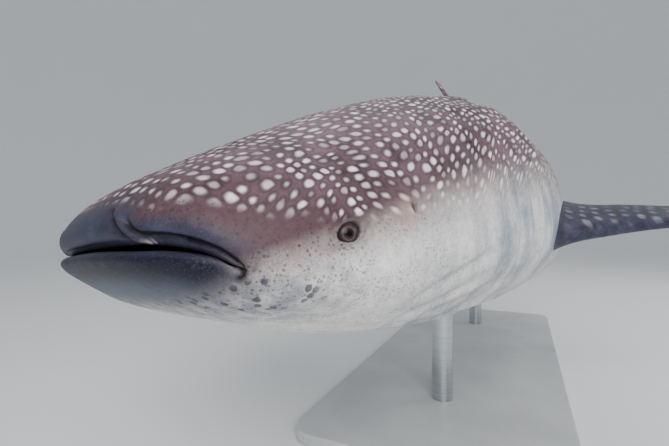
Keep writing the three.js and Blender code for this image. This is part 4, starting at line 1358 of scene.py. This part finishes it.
@dataclass(frozen=True)
class StudioFloor(Finish):
    """Plain pale floor."""

    name: str = "studio_floor"
    roughness: float = 0.8

    def make(self) -> bpy.types.Material:
        """Builds the material, one even tone."""
        material, _, shader = self.start()
        shader.inputs["Base Color"].default_value = colour(236, 238, 239)
        return material


class FinColour(Enum):
    """How a fin's colour is laid: spotted on both faces, or pale on the lower one."""

    SPOTTED = "spotted"
    TWO_TONE = "two_tone"


@dataclass
class Fin:
    """A fin: an aerofoil section carried along the span, with a flared root and a thin wavy edge."""

    mounting: Mounting
    origin: tuple[float, float, float]
    span: float
    lead: list[tuple[float, float]]
    trail: list[tuple[float, float]]
    thick: list[tuple[float, float]]
    side: int = 0
    up: int = 1
    droop: float = 0.0
    pitch: float = 0.0
    sag: float = 0.0
    lean: float = 0.0
    twist: float = 0.0
    flare: float = 0.02
    flare_span: float = 0.16
    first: float = -0.12
    rows: int = 44
    columns: int = 40
    edge: float = 0.004
    stiff_at: float | None = None
    pattern: FinColour = FinColour.SPOTTED
    blue: float = 0.0

    def grid(self) -> tuple[Array, Array, Array, Array]:
        """Points of the fin by share of the span and round the section.

        The half thickness along the chord c is t(1.485 c^.5 - .63 c - 1.758 c^2 + 1.4215 c^3 -
        .5185 c^4). Near the root the section widens by flare (1 - s / flare_span)^2.5, and the
        trailing edge is waved a little.

        Returns:
            (rows, columns, 3) points before the bend, and span shares, chord shares and upper sides.
        """
        share = np.append(self.first, np.linspace(0, 1, self.rows))[:, None]
        turn = np.linspace(0, 2 * math.pi, self.columns, endpoint=False)[None, :]
        chord = (1 - np.cos(turn)) / 2
        profile = (1.485 * np.sqrt(chord) - 0.63 * chord - 1.758 * chord**2
                   + 1.4215 * chord**3 - 0.5185 * chord**4)
        face = np.sign(np.round(np.sin(turn), 6))
        lead, trail = Curve(self.lead)(share), Curve(self.trail)(share)
        flare = self.flare * np.clip(1 - share / self.flare_span, 0, 1) ** 2.5
        lead, trail = lead - 1.4 * flare, trail + 1.4 * flare
        wave = min(self.span, 0.8) * (0.005 * np.sin(share * 29) + 0.003 * np.sin(share * 53 + 1))
        trail = trail + wave * smooth(0.1, 0.3, share) * (1 - smooth(0.9, 1, share))
        along = lead + chord * (trail - lead)
        round_edge = np.sqrt(np.clip(1 - np.clip((share - 0.97) / 0.03, 0, 1) ** 2, 0, 1))
        half = profile * Curve(self.thick)(share) * round_edge
        offset = face * (half + self.edge / 2 * round_edge * (1 - hump(0, 0.02, chord)))
        offset = offset + face * flare * np.sqrt(np.clip(4 * chord * (1 - chord), 0, 1))
        points = self.position(share, along, offset)
        return points, *np.broadcast_arrays(share, chord, face)

    def position(self, share: Array, along: Array, offset: Array) -> Array:
        """Carries span share, distance along the chord and offset from the fin's plane to the body.

        Args:
            share: share of the span.
            along: distance behind the origin along the chord.
            offset: distance from the fin's plane.

        Returns:
            Points in the shark's axes.
        """
        x, y, z = self.origin
        if self.side == 0:
            sideways = self.lean * share * np.abs(share) - self.twist * np.maximum(share, 0) * along
            parts = (x + along, y + offset + sideways, z + self.up * share * self.span)
            return np.stack(np.broadcast_arrays(*parts), axis=-1)
        out = share * self.span
        fall = out * math.sin(self.droop) + self.sag * share**2 * self.span
        rise = along * math.sin(self.pitch) * (1 - 0.5 * np.clip(share, 0, 1))
        parts = (
            x + along * math.cos(self.pitch) - offset * math.sin(self.pitch),
            self.side * (y + out * math.cos(self.droop) - offset * math.sin(self.droop)),
            z - fall + rise + self.up * offset * math.cos(self.pitch if self.pitch else self.droop))
        return np.stack(np.broadcast_arrays(*parts), axis=-1)

    def dress(self, surface: Surface) -> None:
        """Adds the fin to a mesh with the values that colour it.

        Args:
            surface: mesh to add to.
        """
        points, share, chord, face = self.grid()
        rows, columns = points.shape[:2]
        numbers = np.arange(rows * columns).reshape(rows, columns)
        faces = wrapped_rows(numbers)
        faces += [cap_faces(numbers[-1])[:, ::-1], cap_faces(numbers[0])]
        flat = points.reshape(-1, 3)
        faces = facing_out(flat, faces)
        placed = self.mounting.carry(flat, self.stiff_at)
        two_tone = self.pattern is FinColour.TWO_TONE
        belly = 0.55 * smooth(0.02, 0.2, chord) * (two_tone & (face * self.up < 0))
        # Each face takes its spots from a place of its own in the pattern, clear of the body's.
        level = share.ravel() * self.span + 5.0 + 3.0 * face.ravel()
        closeness = 0.7
        marks = np.stack([flat[:, 0] * closeness, level * closeness, flat[:, 0]], axis=1)
        values = dict.fromkeys(
            ("dark", "inner", "jaw", "pale", "blotch", "low", "blush"), np.zeros(rows * columns))
        surface.add(placed, faces, values | {
            "belly": belly.ravel(), "plain": 0.8 * hump(0, 0.06, chord).ravel(), "marks": marks,
            "muzzle": np.full(rows * columns, self.blue)})


@dataclass
class Eye:
    """An eyeball: a smooth ball, closed at both poles."""

    skin: Skin
    side: int
    columns: int = 64
    rows: int = 40
    glance: tuple[float, float, float] = (-0.28, 0.0, -0.16)

    def build(self) -> bpy.types.Object:
        """Makes the ball: centre + radius (cos v, sin v cos u, sin v sin u) about the looking axis.

        Returns:
            The dressed object.
        """
        centre = self.skin.eye_centre(self.side)
        axis = self.skin.form.flank_normal(self.skin.eye_x, self.skin.eye_z, self.side)
        u = np.linspace(0, 2 * math.pi, self.columns, endpoint=False)[None, :, None]
        v = np.linspace(0, math.pi, self.rows + 1)[1:-1, None, None]
        first = unit(np.cross(axis, np.array([0, 0, 1.0])))
        second = np.cross(axis, first)
        ring = axis * np.cos(v) + (first * np.cos(u) + second * np.sin(u)) * np.sin(v)
        points = centre + self.skin.eye_radius * np.concatenate([ring.reshape(-1, 3), [axis, -axis]])
        numbers = np.arange((self.rows - 1) * self.columns).reshape(self.rows - 1, self.columns)
        faces = wrapped_rows(numbers)
        faces.append(fan_faces(len(points) - 2, numbers[0]))
        faces.append(fan_faces(len(points) - 1, numbers[-1])[:, [0, 2, 1]])
        faces = facing_out(points, faces)
        mounting = self.skin.mounting
        surface = Surface()
        surface.add(mounting.carry(points), faces, {})
        word = "left" if self.side < 0 else "right"
        ball = surface.build(f"eyeball_{word}")
        look = unit(axis + np.array(self.glance))
        placed = mounting.carry(np.stack([centre, centre + look * 0.01]))
        glass = EyeGlass(name=f"eye_glass_{word}").make(placed[0], unit(placed[1] - placed[0]))
        ball.data.materials.append(glass)
        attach(ball, "root")
        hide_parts(f"eye_{word}")
        return ball


@dataclass
class WholeShark:
    """The skin with all fins as one mesh, and both eyes."""

    mounting: Mounting = field(default_factory=Mounting)
    form: BodyForm = field(default_factory=BodyForm)

    def fins(self) -> list[Fin]:
        """All fins, with the sizes of the solids.

        Returns:
            First and second dorsal fin, anal fin, upper and lower lobe of the caudal fin, and of
            each side the pectoral and the pelvic fin.
        """
        mounting = self.mounting
        chord = 0.082 * LENGTH
        fins = [
            Fin(mounting, (0.395 * LENGTH, 0, 0.082 * LENGTH), 0.122 * LENGTH, lean=0.346, twist=0.30,
                lead=[(-0.2, -0.060), (0, -0.010), (0.12, 0.040), (0.4, 0.165), (0.75, 0.330),
                      (0.93, 0.432), (1, 0.500)],
                trail=[(-0.2, 0.520), (0, 0.520), (0.08, 0.560), (0.16, 0.500), (0.45, 0.455),
                       (0.75, 0.480), (0.93, 0.525), (1, 0.545)],
                thick=[(-0.2, 0.078), (0, 0.078), (0.3, 0.048), (0.8, 0.020), (1, 0.008)]),
            Fin(mounting, (0.640 * LENGTH, 0, 0.063 * LENGTH), 0.038 * LENGTH, rows=26,
                lead=[(-0.2, -0.020), (0, 0), (0.4, 0.070), (0.8, 0.150), (1, 0.205)],
                trail=[(-0.2, 0.235), (0, 0.240), (0.12, 0.262), (0.3, 0.215), (0.7, 0.205), (1, 0.228)],
                thick=[(-0.2, 0.044), (0, 0.044), (0.3, 0.027), (0.8, 0.011), (1, 0.008)]),
            Fin(mounting, (0.660 * LENGTH, 0, -0.022 * LENGTH), 0.040 * LENGTH, up=-1, rows=26,
                lead=[(-0.2, -0.020), (0, 0), (0.4, 0.075), (0.8, 0.160), (1, 0.215)],
                trail=[(-0.2, 0.225), (0, 0.230), (0.12, 0.250), (0.3, 0.212), (0.7, 0.215), (1, 0.238)],
                thick=[(-0.2, 0.040), (0, 0.040), (0.3, 0.025), (0.8, 0.010), (1, 0.008)]),
            Fin(mounting, (0, 0, 0.020 * LENGTH), 0.198 * LENGTH, first=-0.02, flare=0.0, rows=50,
                lead=[(0, 4.790), (0.12, 4.850), (0.3, 5.010), (0.6, 5.380), (0.85, 5.720), (1, 5.950)],
                trail=[(0, 5.255), (0.12, 5.290), (0.3, 5.400), (0.6, 5.640), (0.85, 5.880), (1, 6.000)],
                thick=[(0, 0.066), (0.3, 0.0436), (0.8, 0.0224), (1, 0.010)]),
            Fin(mounting, (0, 0, 0.020 * LENGTH), 0.128 * LENGTH, up=-1, first=-0.02, flare=0.0, rows=40,
                lead=[(0, 4.790), (0.2, 4.830), (0.5, 4.985), (0.8, 5.190), (1, 5.350)],
                trail=[(0, 5.255), (0.2, 5.230), (0.5, 5.255), (0.8, 5.350), (1, 5.410)],
                thick=[(0, 0.066), (0.3, 0.0436), (0.8, 0.0224), (1, 0.010)]),
        ]
        for side in (-1, 1):
            fins.append(Fin(
                mounting, (0.211 * LENGTH, 0.085 * LENGTH, -0.014 * LENGTH), 0.152 * LENGTH, side=side,
                droop=math.radians(5), pitch=math.radians(18), sag=0.08, flare=0.03, rows=50, blue=0.85,
                stiff_at=0.211 * LENGTH + chord / 2, pattern=FinColour.TWO_TONE,
                lead=[(-0.2, -0.040), (0, -0.012), (0.1, 0.025), (0.35, 0.190), (0.7, 0.480),
                      (0.92, 0.740), (1, 0.850)],
                trail=[(-0.2, chord), (0, chord), (0.12, chord - 0.010), (0.35, 0.555), (0.7, 0.705),
                       (0.92, 0.838), (1, 0.885)],
                thick=[(-0.2, 0.092), (0, 0.092), (0.3, 0.0607), (0.7, 0.0313), (1, 0.010)]))
            fins.append(Fin(
                mounting, (0.532 * LENGTH, 0.030 * LENGTH, -0.034 * LENGTH), 0.048 * LENGTH, side=side,
                first=-0.3, droop=math.radians(38), rows=26, stiff_at=0.532 * LENGTH,
                pattern=FinColour.TWO_TONE,
                lead=[(-0.3, -0.020), (0, 0), (0.4, 0.080), (0.8, 0.175), (1, 0.235)],
                trail=[(-0.3, 0.250), (0, 0.255), (0.12, 0.275), (0.35, 0.240), (0.75, 0.235), (1, 0.260)],
                thick=[(-0.3, 0.040), (0, 0.040), (0.8, 0.012), (1, 0.008)]))
        return fins

    def build(self) -> list[bpy.types.Object]:
        """Makes the skin with its fins, and the eyes.

        Returns:
            The dressed objects.
        """
        skin = Skin(self.form, self.mounting)
        surface = Surface()
        skin.dress(surface)
        for fin in self.fins():
            fin.dress(surface)
        hide = surface.build("hide")
        hide.data.materials.append(SharkHide().make())
        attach(hide, "root")
        flesh = [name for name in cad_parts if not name.startswith(("eye_", "stand_"))]
        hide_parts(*flesh)
        return [hide] + [Eye(skin, side).build() for side in (-1, 1)]


@dataclass
class Stand:
    """The stand's flat base in satin paint and its two rods in brushed steel."""

    base: str = "stand_base"
    rods: tuple[str, ...] = ("stand_rod_front", "stand_rod_rear")

    def build(self) -> list[bpy.types.Object]:
        """Dresses the solids of the stand.

        Returns:
            The stand's objects.
        """
        finishes = [(self.base, StandPaint().make())]
        steel = RodSteel().make()
        finishes += [(name, steel) for name in self.rods]
        for name, finish in finishes:
            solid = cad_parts[name]
            solid.data.materials.clear()
            solid.data.materials.append(finish)
        return [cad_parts[name] for name, _ in finishes]


@dataclass
class Studio:
    """Pale floor that curves up far away, soft lights, and the camera at the photograph's view."""

    level_radius: float = 12.0
    wall_radius: float = 8.0
    wall_height: float = 16.0
    eye_point: tuple[float, float, float] = (-2.530, -0.953, 0.959)
    yaw: float = math.radians(44.06)
    pitch: float = math.radians(-0.31)
    lens: float = 21.63
    air: tuple = (0.93, 0.96, 1.0, 1.0)
    air_strength: float = 0.60

    def floor(self) -> bpy.types.Object:
        """A disc, level out to level_radius, then rising as a quarter circle and up to wall_height.

        Returns:
            The floor.
        """
        turn = np.linspace(0, 2 * math.pi, 96, endpoint=False)[None, :]
        level = np.array([0.5, 3, 6, self.level_radius])
        rise = np.linspace(0, QUARTER_TURN, 16)[1:]
        wall = self.level_radius + self.wall_radius
        curve = self.level_radius + self.wall_radius * np.sin(rise)
        radius = np.concatenate([level, curve, [wall]])[:, None]
        top = self.wall_radius * (1 - np.cos(rise))
        height = np.concatenate([np.zeros(4), top, [self.wall_height]])[:, None]
        grid = np.stack(np.broadcast_arrays(radius * np.cos(turn), radius * np.sin(turn), height), axis=-1)
        points = np.concatenate([grid.reshape(-1, 3), [[0, 0, 0]]])
        numbers = np.arange(grid.shape[0] * grid.shape[1]).reshape(grid.shape[:2])
        faces = wrapped_rows(numbers)
        faces.append(fan_faces(len(points) - 1, numbers[0]))
        surface = Surface()
        surface.add(points, faces, {})
        floor = surface.build("studio_floor")
        floor.data.materials.append(StudioFloor().make())
        return floor

    def lamp(self, name: str, place: tuple, aim: tuple, size: tuple, power: float, tint: tuple) -> None:
        """A soft rectangular light.

        Args:
            name: name of the light.
            place: where it hangs.
            aim: point that it faces.
            size: width and height.
            power: strength in watts.
            tint: colour.
        """
        light = bpy.data.lights.new(name, "AREA")
        light.shape = "RECTANGLE"
        light.size, light.size_y = size
        light.energy = power
        light.color = tint
        holder = bpy.data.objects.new(name, light)
        holder.location = place
        holder.rotation_euler = (Vector(place) - Vector(aim)).to_track_quat("Z", "Y").to_euler()
        bpy.context.scene.collection.objects.link(holder)

    def camera(self) -> bpy.types.Object:
        """The camera, level and turned from +Y towards +X.

        Returns:
            The camera.
        """
        data = bpy.data.cameras.new("photo_view")
        data.lens = self.lens
        data.sensor_width = 36.0
        data.clip_start = 0.02
        holder = bpy.data.objects.new("photo_view", data)
        holder.location = self.eye_point
        holder.rotation_euler = (QUARTER_TURN + self.pitch, 0, -self.yaw)
        bpy.context.scene.collection.objects.link(holder)
        bpy.context.scene.camera = holder
        return holder

    def build(self) -> None:
        """Sets floor, sky, lights and camera."""
        self.floor()
        world = bpy.data.worlds.new("studio_air")
        bpy.context.scene.world = world
        world.use_nodes = True
        air = world.node_tree.nodes["Background"]
        air.inputs["Color"].default_value = self.air
        air.inputs["Strength"].default_value = self.air_strength
        self.lamp("key", (-4.2, -3.4, 3.2), (-1.5, -0.2, 0.9), (3.0, 2.6), 262.0, (1.0, 0.985, 0.97))
        self.lamp("top", (0.6, 0.8, 5.2), (0.4, 0.8, 0.8), (7.0, 4.0), 70.0, (0.93, 0.97, 1.0))
        self.lamp("rear", (4.6, -2.6, 3.4), (1.2, 0.6, 1.0), (3.0, 2.6), 70.0, (1.0, 0.99, 0.98))
        self.camera()


def main() -> None:
    """Builds the shark, the stand and the studio, and reports each piece."""
    logging.basicConfig(level=logging.INFO, format="%(message)s")
    for sub_assembly in (WholeShark(), Stand()):
        for part in sub_assembly.build():
            LOG.info("%s: %d points, %d faces", part.name, len(part.data.vertices), len(part.data.polygons))
    Studio().build()
    LOG.info("studio: floor, lights and camera")


if __name__ == "__main__":
    main()
